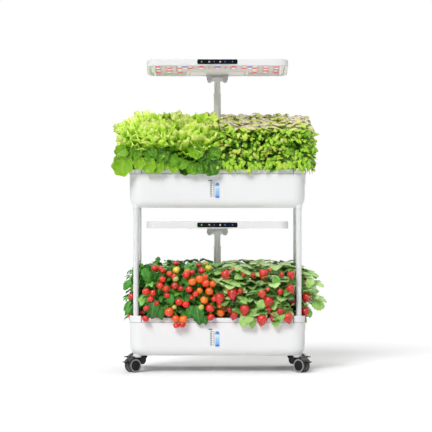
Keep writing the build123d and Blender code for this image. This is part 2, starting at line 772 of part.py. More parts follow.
# Casters: each a hood with a stem, a pair of wheels on its axle, and a brake pedal
for corner, (side_x, side_y, turn) in caster_turns.items():
    trail_way = (cos(radians(turn)), sin(radians(turn)), 0)
    axle_way = (-sin(radians(turn)), cos(radians(turn)), 0)
    swivel = Plane(origin=(side_x * caster_x, side_y * caster_y, 0), x_dir=trail_way, z_dir=(0, 0, 1))
    side_plane = Plane(
        origin=swivel.origin, x_dir=trail_way, z_dir=(-axle_way[0], -axle_way[1], 0)
    )
    axle_place = (caster_trail, wheel_radius)
    pedal_place = (pedal_u, pedal_z)

    with BuildPart() as caster_hood:
        with BuildSketch(side_plane):
            with Locations(axle_place):
                Circle(fender_outer_radius)
                with Locations((0, -fender_outer_radius + fender_skirt_rise)):
                    Rectangle(
                        2 * fender_outer_radius, 2 * fender_outer_radius, mode=Mode.SUBTRACT
                    )
        extrude(amount=caster_width / 2 + wheel_side_gap, both=True)
        with BuildSketch(side_plane):
            with BuildLine():
                Polyline(
                    (-horn_inner, caster_face_height),
                    (0, caster_face_height),
                    (0, nose_z),
                    (nose_u, nose_z),
                )
                ThreePointArc(
                    (nose_u, nose_z),
                    (-horn_outer - hood_nose_bulge, (nose_z + horn_top) / 2),
                    (-horn_outer, caster_face_height),
                )
                Line((-horn_outer, caster_face_height), (-horn_inner, caster_face_height))
            make_face()
        extrude(amount=caster_width / 2 + wheel_side_gap, both=True)
        with BuildSketch(side_plane):
            with BuildLine():
                Polyline(
                    (-horn_inner, caster_face_height - fender_wall),
                    (-horn_inner, horn_top),
                    (-horn_outer, horn_top),
                    (-horn_outer, caster_face_height - fender_wall),
                    close=True,
                )
            make_face()
            with BuildLine():
                Polyline(
                    (horn_inner, caster_face_height - fender_wall),
                    (horn_inner, horn_top),
                    (horn_outer, horn_top),
                    (horn_outer + horn_slope, caster_face_height - fender_skirt_rise),
                    close=True,
                )
            make_face()
        extrude(amount=horn_width / 2, both=True)
        with BuildSketch(swivel.offset(caster_face_height)):
            Circle(barrel_radius)
        extrude(amount=-barrel_height)
        with BuildSketch(side_plane):
            with Locations(axle_place):
                Circle(fender_inner_radius)
        extrude(amount=caster_width / 2 + wheel_side_gap + cut_overrun, both=True, mode=Mode.SUBTRACT)
        with BuildSketch(side_plane):
            with Locations(axle_place):
                Circle(caster_web_radius)
                Rectangle(2 * caster_web_radius, 2 * fender_inner_radius)
                with Locations((0, -fender_inner_radius)):
                    Rectangle(
                        2 * caster_web_radius, 2 * fender_inner_radius, mode=Mode.SUBTRACT
                    )
                Circle(fender_outer_radius - fender_wall / 2, mode=Mode.INTERSECT)
                Circle(caster_web_radius)
        extrude(amount=caster_web / 2, both=True)
        with BuildSketch(side_plane):
            with Locations(axle_place):
                Circle(axle_radius)
        extrude(amount=caster_width / 2 - wheel_hub_recess, both=True)
        with BuildSketch(swivel.offset(caster_face_height)):
            Circle(stem_radius)
        extrude(amount=stem_length - fit_gap)
        for ear_side in (-1, 1):
            ear_inner = ear_side * pedal_ear_spacing / 2
            with BuildSketch(side_plane.offset(ear_inner)):
                with Locations(pedal_place):
                    Circle(pedal_knuckle_radius)
                with Locations(axle_place):
                    with Locations(Rotation(0, 0, pedal_angle)):
                        with Locations(((fender_inner_radius + pedal_reach) / 2, 0)):
                            Rectangle(
                                pedal_reach - fender_inner_radius - fender_wall / 2,
                                2 * pedal_knuckle_radius,
                            )
                with Locations(pedal_place):
                    Circle(pedal_pin_radius + running_clearance, mode=Mode.SUBTRACT)
            extrude(amount=ear_side * pedal_ear_width)
    caster_hood.part.label = f"caster_{corner}_hood"
    export_step(caster_hood.part, f"parts/caster_{corner}_hood.step")

    with BuildPart() as caster_wheels:
        for wheel_side in (-1, 1):
            with BuildSketch(side_plane.offset(wheel_side * wheel_inner)):
                with Locations(axle_place):
                    Circle(wheel_radius)
            extrude(amount=wheel_side * wheel_width)
        tyre_edges = caster_wheels.edges().filter_by(GeomType.CIRCLE)
        chamfer(tyre_edges, length=wheel_chamfer)
        for wheel_side in (-1, 1):
            with BuildSketch(side_plane.offset(wheel_side * (wheel_inner + wheel_width))):
                with Locations(axle_place):
                    Circle(wheel_hub_radius)
            extrude(amount=-wheel_side * wheel_hub_recess, mode=Mode.SUBTRACT)
        with BuildSketch(side_plane):
            with Locations(axle_place):
                Circle(axle_radius + running_clearance)
        extrude(amount=caster_width / 2, both=True, mode=Mode.SUBTRACT)
    caster_wheels.part.label = f"caster_{corner}_wheels"
    export_step(caster_wheels.part, f"parts/caster_{corner}_wheels.step")

    with BuildPart() as caster_pedal:
        with BuildSketch(side_plane):
            with Locations(pedal_place):
                Circle(pedal_knuckle_radius)
                with Locations((pedal_root / 2, 0)):
                    Rectangle(pedal_root, pedal_thickness)
        extrude(amount=pedal_ear_spacing / 2 - fit_gap, both=True)
        with BuildSketch(side_plane):
            with Locations(pedal_place):
                with Locations(((pedal_root + pedal_length) / 2, 0)):
                    Rectangle(pedal_length - pedal_root, pedal_thickness)
        extrude(amount=pedal_width / 2, both=True)
        with BuildSketch(side_plane):
            with Locations(pedal_place):
                Circle(pedal_pin_radius)
        extrude(amount=pedal_ear_spacing / 2 + pedal_ear_width, both=True)
    caster_pedal.part.label = f"caster_{corner}_pedal"
    export_step(caster_pedal.part, f"parts/caster_{corner}_pedal.step")

# Plants: one crown over each pod, six of them fused in each group, clear of the pole and the posts.
# The rows rise towards the back, so that the lamp reaches them all.
pole_clear = outer_tube_diameter / 2 + plant_pole_gap
post_clear = post_x - post_diameter / 2 - plant_post_gap
crown_join_x = pole_clear + 2 * crown_half_width
crown_join_y = crown_half_depth - crown_overlap
for group, (tier, side, height) in plant_groups.items():
    stem_z = tiers[tier]["base"] + tank_wall_height + rim_height - deck_sink + pod_flange_thickness
    with BuildPart() as plants:
        for row, row_height_share in row_height_shares.items():
            squeezed = tier == "lower" and row != 0
            outer_reach = post_clear if squeezed else plant_reach_x
            half_depth = (plant_reach_y - crown_join_y) / 2 if row else crown_half_depth
            row_y = row * (plant_reach_y + crown_join_y) / 2
            spans = (
                (pod_pitch_x / 2, pole_clear, crown_join_x),
                (pod_pitch_x * 3 / 2, crown_join_x - crown_overlap, outer_reach),
            )
            for pod_x, near_x, far_x in spans:
                pod_y = row * pod_pitch_y
                rise = height * row_height_share
                for share in (0, stem_height_share):
                    with BuildSketch(Plane((side * pod_x, pod_y, stem_z + share * rise))):
                        RegularPolygon(plant_stem_radius, plant_sides)
                for height_share, radius_share, lean_share in crown_shares:
                    center = (
                        side * (pod_x + lean_share * ((near_x + far_x) / 2 - pod_x)),
                        pod_y + lean_share * (row_y - pod_y),
                        stem_z + height_share * rise,
                    )
                    with BuildSketch(Plane(center)):
                        with BuildLine():
                            Polyline(
                                *[
                                    (
                                        radius_share * (far_x - near_x) / 2 * cos(radians(angle)),
                                        radius_share * half_depth * sin(radians(angle)),
                                    )
                                    for angle in range(0, 360, 360 // plant_sides)
                                ],
                                close=True,
                            )
                        make_face()
                loft(ruled=True)
    plants.part.label = group
    export_step(plants.part, f"parts/{group}.step")
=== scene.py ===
import math
import random

import bpy
import numpy as np
from mathutils import Matrix, Vector


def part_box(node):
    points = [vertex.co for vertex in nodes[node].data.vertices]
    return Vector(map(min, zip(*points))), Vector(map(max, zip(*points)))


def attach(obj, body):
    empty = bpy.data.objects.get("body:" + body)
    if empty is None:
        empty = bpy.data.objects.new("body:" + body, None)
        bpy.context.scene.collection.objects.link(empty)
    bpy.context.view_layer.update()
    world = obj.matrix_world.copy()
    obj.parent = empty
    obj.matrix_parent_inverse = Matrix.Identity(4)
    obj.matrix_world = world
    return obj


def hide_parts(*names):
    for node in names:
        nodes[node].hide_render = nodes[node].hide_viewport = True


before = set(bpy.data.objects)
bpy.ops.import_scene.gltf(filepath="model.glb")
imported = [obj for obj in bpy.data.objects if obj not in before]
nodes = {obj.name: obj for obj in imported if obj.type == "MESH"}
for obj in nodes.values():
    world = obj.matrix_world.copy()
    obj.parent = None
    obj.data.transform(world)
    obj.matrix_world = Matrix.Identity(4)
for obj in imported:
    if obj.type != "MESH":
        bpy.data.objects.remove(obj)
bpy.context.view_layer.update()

# A growing trolley of two tiers. Each tier is a white water tank with a planting deck, and has a
# lamp on a telescopic pole. Lettuce and basil grow above, tomatoes and strawberries below.
chance = random.Random(11)
tiers = ("lower", "upper")
up = Vector((0, 0, 1))
upright = Matrix.Rotation(math.pi / 2, 4, "X")

# Camera, at the photograph's viewing angle
photo_pixels = 432
pixels_per_metre = 295
view_distance = 6.6
view_side = -0.0047
eye_height = 0.5315
sensor = 36
far_clip = 100

bpy.ops.object.camera_add()
camera = bpy.context.object
camera.data.sensor_width = sensor
camera.data.lens = sensor * view_distance * pixels_per_metre / photo_pixels
camera.location = (view_side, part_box("lower_tank")[0].y - view_distance, eye_height)
camera.rotation_euler = (math.pi / 2, 0, 0)
camera.data.clip_end = far_clip
bpy.context.scene.camera = camera
bpy.context.scene.view_settings.view_transform = "Standard"


# Small helpers

def clear():
    """Leaves object mode on and nothing selected."""
    if bpy.context.object and bpy.context.object.mode != "OBJECT":
        bpy.ops.object.mode_set(mode="OBJECT")
    bpy.ops.object.select_all(action="DESELECT")


def alone(piece):
    """Selects one piece and makes it the active one."""
    clear()
    piece.select_set(True)
    bpy.context.view_layer.objects.active = piece
    return piece


def modified(piece, kind, **settings):
    """Adds a modifier and applies it."""
    alone(piece)
    change = piece.modifiers.new(kind.lower(), kind)
    for name, value in settings.items():
        setattr(change, name, value)
    bpy.ops.object.modifier_apply(modifier=change.name)
    return piece


def edited(piece, *changes):
    """Makes changes to the whole of a piece in edit mode: each an operator and its settings."""
    alone(piece)
    bpy.ops.object.mode_set(mode="EDIT")
    bpy.ops.mesh.select_all(action="SELECT")
    for change, settings in changes:
        change(**settings)
    bpy.ops.object.mode_set(mode="OBJECT")
    return piece


def joined(name, pieces):
    """Joins several objects into one."""
    alone(pieces[0])
    for piece in pieces:
        piece.select_set(True)
    if len(pieces) > 1:
        bpy.ops.object.join()
    pieces[0].name = name
    return pieces[0]


def finished(piece, material):
    """Gives a piece one material all over."""
    piece.data.materials.clear()
    piece.data.materials.append(material)
    return piece


def linked(name, data):
    """A new object in the scene, made of the given data."""
    piece = bpy.data.objects.new(name, data)
    bpy.context.scene.collection.objects.link(piece)
    return piece


def meshed(piece):
    """Turns a curve or a text into a mesh."""
    alone(piece)
    bpy.ops.object.convert(target="MESH")
    return bpy.context.object


def round_line(name, radius, resolution):
    """A curve in space, drawn as a round tube."""
    line = bpy.data.curves.new(name, "CURVE")
    line.dimensions = "3D"
    line.bevel_depth = radius
    line.bevel_resolution = resolution
    return line


def plate(matrix):
    """A thin square of side 1, placed by a matrix."""
    clear()
    bpy.ops.mesh.primitive_plane_add(size=1)
    made = bpy.context.object
    made.data.transform(matrix)
    return made


def hollowed(piece, width):
    """Leaves only a rim of the given width round a flat piece."""
    return edited(piece, (bpy.ops.mesh.inset, {"thickness": width}), (bpy.ops.mesh.delete, {"type": "FACE"}))


def copied(template, matrix, tint=None):
    """One copy of a template, with its own mesh, placed by a matrix."""
    mesh = template.data.copy()
    mesh.transform(matrix)
    if tint is not None:
        shade = mesh.attributes.new("tint", "FLOAT", "POINT")
        shade.data.foreach_set("value", [tint] * len(mesh.vertices))
    return linked(template.name, mesh)


def facing(place, along, face, size=1.0):
    """The matrix that lays Y along one way and turns Z towards another."""
    along = along.normalized()
    across = along.cross(face).normalized()
    turn = Matrix((across, along, across.cross(along))).transposed().to_4x4()
    return Matrix.Translation(place) @ turn @ Matrix.Scale(size, 4)


def stood(piece, place):
    """Stands a piece that lies in XY upright, facing the front, at a place."""
    piece.data.transform(Matrix.Translation(place) @ upright)
    return piece


def jitter(spread=1.0):
    """A random vector, each way up to the spread."""
    return Vector([chance.uniform(-spread, spread) for _ in range(3)])


# Material helpers

def node(tree, kind, inputs=None, **settings):
    """Adds a shader node, and links or sets its inputs."""
    made = tree.nodes.new("ShaderNode" + kind)
    for name, value in settings.items():
        setattr(made, name, value)
    for name, value in (inputs or {}).items():
        if isinstance(value, bpy.types.NodeSocket):
            tree.links.new(value, made.inputs[name])
        else:
            made.inputs[name].default_value = value
    return made


def maths(tree, operation, *terms):
    made = node(tree, "Math", dict(enumerate(terms)), operation=operation)
    return made.outputs[0]


def remap(tree, value, low, high, first=0.0, last=1.0):
    inputs = {"Value": value, "From Min": low, "From Max": high, "To Min": first, "To Max": last}
    return node(tree, "MapRange", inputs).outputs[0]


def ramp(tree, value, *colours, steps=None):
    """A colour ramp, its colours evenly spaced or at the given steps."""
    made = node(tree, "ValToRGB", {"Fac": value})
    band = made.color_ramp
    steps = steps or [i / max(1, len(colours) - 1) for i in range(len(colours))]
    while len(band.elements) < len(colours):
        band.elements.new(1.0)
    for element, step, colour in zip(band.elements, steps, colours):
        element.position = step
        element.color = (*colour, 1)
    return made.outputs[0]


def mixed(tree, share, first, second):
    made = node(tree, "Mix", {0: share, 6: first, 7: second}, data_type="RGBA")
    return made.outputs[2]


def noise(tree, place, scale, detail=3.0):
    """A cloudy value that varies over a piece."""
    inputs = {"Vector": place.outputs["Object"], "Scale": scale, "Detail": detail}
    return node(tree, "TexNoise", inputs).outputs[0]


def painted(tree, shader, colour):
    tree.links.new(colour, shader.inputs["Base Color"])


def worn(tree, shader, cloud, roughness, less, more, low=0.3, high=0.7):
    """Lets the roughness wander with the clouds."""
    gloss = remap(tree, cloud, low, high, roughness * less, roughness * more)
    tree.links.new(gloss, shader.inputs["Roughness"])


def raised(tree, shader, height, strength, distance):
    """Raises the surface by a height, as small bumps in its shading."""
    bump = node(tree, "Bump", {"Height": height, "Strength": strength, "Distance": distance})
    tree.links.new(bump.outputs[0], shader.inputs["Normal"])


def fresh(name, **sockets):
    """A new material, with its tree, its shader and the Object coordinates."""
    material = bpy.data.materials.new(name)
    material.use_nodes = True
    tree = material.node_tree
    shader = tree.nodes["Principled BSDF"]
    for socket, value in sockets.items():
        shader.inputs[socket.replace("_", " ")].default_value = value
    place = node(tree, "TexCoord")
    return material, tree, shader, place


mottle_scale, grain_height = 14.0, 0.0002
streaks = (1800, 1800, 30)


def moulded(name, colour, roughness=0.35, wander=0.04, grain=900.0, depth=0.06, patchy=0.15, **sockets):
    """Moulded plastic or painted metal: a faint mottle, a fine grain and slight wear in the gloss."""
    material, tree, shader, place = fresh(name, **sockets)
    cloud = noise(tree, place, mottle_scale)
    pale = tuple(min(1.0, c * (1 + wander)) for c in colour)
    deep = tuple(c * (1 - wander) for c in colour)
    painted(tree, shader, ramp(tree, cloud, deep, pale))
    worn(tree, shader, cloud, roughness, 1 - patchy, 1 + patchy)
    raised(tree, shader, noise(tree, place, grain, 2.0), depth, grain_height)
    return material


def lacquered(name, colour):
    """Smooth white lacquer over a metal tube."""
    return moulded(name, colour, 0.22, 0.004, depth=0.01, patchy=0.05, Coat_Weight=0.5)


def brushed(name, colour, roughness):
    """Drawn or brushed metal, with fine streaks along Z."""
    material, tree, shader, place = fresh(name, Metallic=1.0)
    stretched = node(tree, "Mapping", {"Vector": place.outputs["Object"], "Scale": streaks})
    streak = node(tree, "TexNoise", {"Vector": stretched.outputs[0], "Scale": 1.0, "Detail": 3.0}).outputs[0]
    deep = tuple(c * 0.86 for c in colour)
    painted(tree, shader, ramp(tree, streak, deep, colour))
    worn(tree, shader, streak, roughness, 0.8, 1.2, 0.2, 0.8)
    return material


leaf_cloud_scale, pucker_scale = 55.0, 170.0
vein_lean, leaf_relief = 1.1, 0.0016


def leafy(name, hues, vein, veins=5.0, roughness=0.45, ribbed=0.5, margin=None, glow=0.0, crinkle=0.05,
          frill_highlight=0.0):
    """A leaf: hue by the leaf's own tint, with a midrib, side veins, a slightly puckered skin and, where
    asked, a painted highlight along its frilled margin.
    """
    material, tree, shader, place = fresh(name, Specular_IOR_Level=0.3)
    cloud = noise(tree, place, leaf_cloud_scale, 4.0)
    pucker = noise(tree, place, pucker_scale, 2.0)
    across, along, _ = node(tree, "SeparateXYZ", {"Vector": place.outputs["UV"]}).outputs
    hue = node(tree, "Attribute", attribute_name="tint").outputs["Fac"]
    hue = maths(tree, "ADD", hue, remap(tree, cloud, 0.2, 0.8, -0.16, 0.16))
    hue = maths(tree, "ADD", hue, remap(tree, pucker, 0.3, 0.7, -crinkle, crinkle))
    hue = maths(tree, "ADD", hue, remap(tree, along, 0.3, 1.0, -glow, glow))
    half = maths(tree, "ABSOLUTE", maths(tree, "SUBTRACT", across, 0.5))
    # Painted highlight: the hue is raised along the leaf's tip and sides, where its frills would catch the
    # light.
    if frill_highlight:
        rim = maths(tree, "MAXIMUM", remap(tree, along, 0.86, 1.0, 0.0, frill_highlight),
                    remap(tree, half, 0.43, 0.5, 0.0, frill_highlight))
        hue = maths(tree, "ADD", hue, rim)
    midrib = remap(tree, half, 0.015, 0.06, 1.0, 0.0)
    lean = maths(tree, "MULTIPLY_ADD", half, -vein_lean, along)
    branch = maths(tree, "PINGPONG", maths(tree, "MULTIPLY", lean, veins * 2), 1.0)
    ribs = maths(tree, "MAXIMUM", midrib, remap(tree, branch, 0.0, 0.24, 0.6, 0.0))
    colour = mixed(tree, maths(tree, "MULTIPLY", ribs, ribbed), ramp(tree, hue, *hues), (*vein, 1))
    if margin:
        edge = remap(tree, half, 0.42, 0.49, 0.0, 0.85)
        colour = mixed(tree, edge, colour, (*margin, 1))
    painted(tree, shader, colour)
    worn(tree, shader, cloud, roughness, 0.8, 1.2)
    swell = maths(tree, "MULTIPLY_ADD", ribs, -0.7, cloud)
    swell = maths(tree, "MULTIPLY_ADD", pucker, 8 * crinkle, swell)
    raised(tree, shader, swell, 0.6, leaf_relief)
    return material


seed_scale, seed_gold, seed_dent = 230.0, (0.62, 0.38, 0.06, 1), 0.0009


def skinned(name, hues, steps=None, roughness=0.2, seeds=False):
    """A fruit's glossy skin, its hue by the fruit's own tint, with seeds where it has them."""
    material, tree, shader, place = fresh(name, Coat_Weight=0.4, Coat_Roughness=0.12)
    cloud = noise(tree, place, 40.0)
    tint = node(tree, "Attribute", attribute_name="tint").outputs["Fac"]
    hue = maths(tree, "ADD", tint, remap(tree, cloud, 0.2, 0.8, -0.05, 0.05))
    colour, height, depth = ramp(tree, hue, *hues, steps=steps), cloud, grain_height
    if seeds:
        cell = node(tree, "TexVoronoi", {"Vector": place.outputs["Object"], "Scale": seed_scale})
        seed = remap(tree, cell.outputs["Distance"], 0.16, 0.26, 1.0, 0.0)
        colour = mixed(tree, seed, colour, seed_gold)
        height, depth = remap(tree, cell.outputs["Distance"], 0.0, 0.55), seed_dent
    painted(tree, shader, colour)
    worn(tree, shader, cloud, roughness, 0.8, 1.3)
    raised(tree, shader, height, 0.6, depth)
    return material


def water_window():
    """The level window: deep blue below, pale cyan in the middle and a dark band at its top."""
    material, tree, shader, place = fresh("window_clear", Roughness=0.08, Coat_Weight=0.6)
    height = node(tree, "SeparateXYZ", {"Vector": place.outputs["Object"]}).outputs[2]
    low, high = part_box("lower_level_window")
    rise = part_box("upper_level_window")[0].z - low.z
    tier_height = maths(tree, "MODULO", maths(tree, "SUBTRACT", height, low.z - 0.001), rise)
    share = remap(tree, tier_height, 0.0, high.z - low.z)
    colours = ((0.01, 0.16, 0.6), (0.02, 0.2, 0.66), (0.2, 0.46, 0.82), (0.45, 0.7, 0.92),
               (0.8, 0.88, 0.95), (0.06, 0.26, 0.66))
    wave = noise(tree, place, 120.0, 2.0)
    blurred = maths(tree, "ADD", share, remap(tree, wave, 0.2, 0.8, -0.04, 0.04))
    painted(tree, shader, ramp(tree, blurred, *colours, steps=(0.0, 0.1, 0.2, 0.62, 0.74, 0.84)))
    return material


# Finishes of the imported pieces, by their slots
finishes = {
    "tank_white": moulded("tank_white", (0.86, 0.865, 0.875), 0.34, 0.004, patchy=0.03),
    "deck_white": moulded("deck_white", (0.84, 0.845, 0.85), 0.4, 0.006, patchy=0.04),
    "cap_white": moulded("cap_white", (0.86, 0.865, 0.875), 0.34, 0.004, patchy=0.03),
    "post_white": lacquered("post_white", (0.8, 0.805, 0.82)),
    "pole_white": lacquered("pole_white", (0.8, 0.805, 0.82)),
    "lamp_white": moulded("lamp_white", (0.79, 0.795, 0.805), 0.34, 0.004, patchy=0.03),
    # The board and the driver's cover get a faint pinkish glow: painted light, as from the chips shining on
    # them.
    "board_white": moulded("board_white", (0.7, 0.6, 0.63), 0.3, 0.03, Emission_Strength=0.16,
                           Emission_Color=(0.9, 0.7, 0.76, 1)),
    "chip_red": moulded("chip_red", (0.7, 0.02, 0.02), 0.3, 0.1),
    "driver_white": moulded("driver_white", (0.8, 0.77, 0.79), 0.35, 0.01, Emission_Strength=0.12,
                            Emission_Color=(0.9, 0.82, 0.86, 1)),
    "bracket_grey": moulded("bracket_grey", (0.56, 0.56, 0.57), 0.4, 0.03, 700.0, 0.15),
    "pin_steel": brushed("pin_steel", (0.3, 0.3, 0.32), 0.35),
    "screw_steel": brushed("screw_steel", (0.55, 0.55, 0.57), 0.3),
    "panel_black": moulded("panel_black", (0.003, 0.003, 0.0035), 0.12, 0.2, depth=0.01,
                           Specular_IOR_Level=0.12),
    "window_clear": water_window(),
    "float_blue": moulded("float_blue", (0.01, 0.12, 0.55), 0.35, 0.05),
    "flap_white": moulded("flap_white", (0.82, 0.825, 0.835), 0.34, 0.006, patchy=0.04),
    "cup_grey": moulded("cup_grey", (0.11, 0.11, 0.115), 0.5, 0.08),
    "sponge_tan": moulded("sponge_tan", (0.22, 0.13, 0.06), 0.95, 0.45, 500.0, 1.0),
    "pump_black": moulded("pump_black", (0.02, 0.02, 0.022), 0.4, 0.1),
    "plug_grey": moulded("plug_grey", (0.3, 0.3, 0.31), 0.6, 0.06),
    "inlet_black": moulded("inlet_black", (0.015, 0.015, 0.016), 0.35, 0.1),
    "hood_black": moulded("hood_black", (0.008, 0.008, 0.009), 0.45, 0.12, 600.0, 0.12,
                          Specular_IOR_Level=0.3),
    "wheel_grey": moulded("wheel_grey", (0.5, 0.5, 0.51), 0.55, 0.05, 500.0, 0.2),
}
for packed in nodes.values():
    for held in packed.material_slots:
        held.material = finishes.get(held.material.name, held.material)

# Stage: a plain pale floor, a white surround and soft studio light
floor_size = 24
floor_grey = 0.9
floor_lift = 0.03
world_level = 0.09

bpy.ops.mesh.primitive_plane_add(size=floor_size)
floor = bpy.context.object
floor.name = "floor"
floor_paint = bpy.data.materials.new("floor_paint")
floor_paint.use_nodes = True
tree = floor_paint.node_tree
tree.nodes.clear()
seen = node(tree, "LightPath")
matt = node(tree, "BsdfDiffuse", {"Color": (floor_grey, floor_grey, floor_grey, 1)})
faint = maths(tree, "MULTIPLY", seen.outputs["Is Camera Ray"], floor_lift)
lift = node(tree, "Emission", {"Strength": faint})
both = node(tree, "AddShader", {0: matt.outputs[0], 1: lift.outputs[0]})
node(tree, "OutputMaterial", {"Surface": both.outputs[0]})
floor.data.materials.append(floor_paint)

world = bpy.data.worlds.new("studio")
bpy.context.scene.world = world
world.use_nodes = True
tree = world.node_tree
tree.nodes.clear()
seen = node(tree, "LightPath")
plain = maths(tree, "MAXIMUM", seen.outputs["Is Camera Ray"], seen.outputs["Is Transmission Ray"])
plain = maths(tree, "MAXIMUM", plain, seen.outputs["Is Glossy Ray"])
strength = remap(tree, plain, 0.0, 1.0, world_level, 1.0)
surround = node(tree, "Background", {"Color": (1, 1, 1, 1), "Strength": strength})
node(tree, "OutputWorld", {"Surface": surround.outputs[0]})


def sunlight(name, toward, power, softness):
    """An even light from far off, coming from the given side, with soft shadows."""
    light = bpy.data.lights.new(name, "SUN")
    light.energy = power
    light.angle = math.radians(softness)
    linked(name, light).rotation_euler = Vector(toward).to_track_quat("Z", "Y").to_euler()


sunlight("key", (-0.38, -0.9, 0.8), 2.15, 25)
sunlight("overhead", (0.0, 0.03, 1.0), 1.75, 40)
sunlight("back", (0.3, 0.9, 0.5), 0.4, 50)

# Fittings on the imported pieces: lamp chips, touch signs, level scales and wheel hubs
# Each lamp's hinge height, and its lean in degrees
lamp_planes = {"lower": (0.477, 0.0), "upper": (1.012, -7.5)}
seam_height = {"lower": 0.1702, "upper": 0.6742}
pole_y = 0.066
chip_pitch_x, chip_pitch_y, chip_level = 0.0186, 0.0225, 0.0207
chip_pad, chip_rim, chip_lens = (0.0155, 0.0205), 0.0009, (0.0135, 0.0165, 0.0012)
first_chip, last_column = 0.0235, 11
lamp_centre_y, lamp_front_y = -0.0775, -0.171
driver_half, driver_front, driver_margin = 0.1145, -0.0544, 0.009
reflector_x, reflector_size, reflector_slope = 0.2235, (0.0195, 0.156), math.radians(-27)
reflector_level, screw_level, screw_rows = 0.0168, 0.0162, (-0.13, -0.025)


def glowing(name, colour, strength):
    """A lit sign: its own colour with a soft glow."""
    material = moulded(name, colour, 0.4, 0.05)
    shader = material.node_tree.nodes["Principled BSDF"]
    shader.inputs["Emission Color"].default_value = (*colour, 1)
    shader.inputs["Emission Strength"].default_value = strength
    return material


def ring(radius, width, height, segments=20):
    """A flat ring, lying in XY."""
    clear()
    bpy.ops.mesh.primitive_torus_add(major_radius=radius, minor_radius=width / 2, major_segments=segments,
                                     minor_segments=6)
    made = bpy.context.object
    made.data.transform(Matrix.Diagonal((1, 1, height / width, 1)))
    return made


def bar(x, y, length, width, height, turn=0.0):
    """A small raised bar with softened edges, lying in XY."""
    clear()
    bpy.ops.mesh.primitive_cube_add(size=1)
    made = bpy.context.object
    made.data.transform(Matrix.Translation((x, y, 0)) @ Matrix.Rotation(turn, 4, "Z")
                        @ Matrix.Diagonal((length, width, height, 1)))
    return modified(made, "BEVEL", width=min(width, height) * 0.3, segments=2)


def on_lamp(name, parts, tier):
    """Joins parts that are drawn in a lamp's own frame, its hinge at the origin, and rides them on it."""
    piece = joined(f"{tier}_{name}", parts)
    level, lean = lamp_planes[tier]
    hinge = Matrix.Translation((0, pole_y, level))
    piece.data.transform(hinge @ Matrix.Rotation(math.radians(lean), 4, "X"))
    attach(piece, f"{tier}_lamp")
    return piece


# Chips by their column's number from the middle, front to back: red, white, blue, amber, plain pad
chip_columns = {0: "baba", 1: "pppp", 2: "pppp", 3: "rrrwwrr", 4: "pppp", 5: "wrwrwrw", 6: "bababab",
                7: "rwwrwwr", 8: "ppppppp", 9: "wrwrwrw", 10: "ppppppp", 11: "rwrwrwr"}
chip_finishes = {
    "r": glowing("chip_red", (0.74, 0.035, 0.045), 0.6), "w": glowing("chip_white", (0.78, 0.88, 0.9), 0.35),
    "b": glowing("chip_blue", (0.1, 0.08, 0.72), 0.7), "a": glowing("chip_amber", (0.92, 0.84, 0.6), 0.4),
    "p": glowing("chip_pad", (0.76, 0.64, 0.67), 0.22),
}
chip_line = moulded("chip_line", (0.36, 0.2, 0.2), 0.5, 0.1)


def chip(kind):
    """One lamp chip on its pad: a soft-edged lens with a darker rim round it."""
    rim = hollowed(plate(Matrix.Diagonal((*chip_pad, 1, 1))), chip_rim)
    modified(rim, "SOLIDIFY", thickness=0.0004, offset=0)
    lens = bar(0, 0, *chip_lens)
    return joined(f"chip_{kind}", [finished(rim, chip_line), finished(lens, chip_finishes[kind])])


def lamp_chips(tier):
    """The rows of chips under a lamp, none where the driver's cover is."""
    kinds = {kind: chip(kind) for kind in chip_finishes}
    parts = []
    for column in range(-last_column, last_column + 1):
        for row, kind in enumerate(chip_columns[abs(column)]):
            x = column * chip_pitch_x
            y = lamp_front_y + first_chip + row * chip_pitch_y
            if abs(x) >= driver_half or y <= driver_front - driver_margin:
                parts.append(copied(kinds[kind], Matrix.Translation((x, y, chip_level))))
    for kind in kinds.values():
        bpy.data.objects.remove(kind)
    piece = on_lamp("chips", parts, tier)
    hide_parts(f"{tier}_led_chips")


def lamp_reflectors(tier):
    """The sloped end walls inside a lamp, each with two screws."""
    parts = []
    for side in (-1, 1):
        slope = Matrix.Rotation(side * reflector_slope, 4, "Y")
        middle = Matrix.Translation((side * reflector_x, lamp_centre_y, reflector_level))
        wall = plate(middle @ slope @ Matrix.Diagonal((*reflector_size, 1, 1)))
        modified(wall, "SOLIDIFY", thickness=0.0008, offset=0)
        modified(wall, "BEVEL", width=0.0003, segments=2)
        parts.append(finished(wall, reflector_painted_glow))
        for y in screw_rows:
            clear()
            bpy.ops.mesh.primitive_uv_sphere_add(segments=16, ring_count=8, radius=0.003)
            head = bpy.context.object
            seat = Matrix.Translation((side * reflector_x, y, screw_level))
            head.data.transform(seat @ slope @ Matrix.Diagonal((1, 1, 0.4, 1)))
            bpy.ops.object.shade_smooth()
            parts.append(finished(head, finishes["screw_steel"]))
    on_lamp("reflectors", parts, tier)


sign_colours = {
    "green": glowing("sign_green", (0.1, 0.75, 0.12), 0.5),
    "white": glowing("sign_white", (0.8, 0.82, 0.85), 0.5),
    "blue": glowing("sign_blue", (0.03, 0.3, 0.85), 0.6),
}
# The end walls get a faint pinkish glow: painted light, as from the chips shining on them.
reflector_painted_glow = moulded("reflector_painted_glow", (0.78, 0.74, 0.77), 0.3, 0.01, Emission_Strength=0.1,
                          Emission_Color=(0.9, 0.82, 0.86, 1))
trim_white = moulded("trim_white", (0.8, 0.805, 0.81), 0.35, 0.02)
scale_ink = moulded("scale_ink", (0.05, 0.05, 0.055), 0.6, 0.1)
hub_black = moulded("hub_black", (0.006, 0.006, 0.007), 0.55, 0.15, 500.0, 0.2, Specular_IOR_Level=0.25)
joint_dark = moulded("joint_dark", (0.1, 0.1, 0.105), 0.7, 0.1)
# A grey for the line under each tank's rim: painted shadow.
seam_shadow_grey = moulded("seam_shadow_grey", (0.42, 0.43, 0.45), 0.6, 0.05)


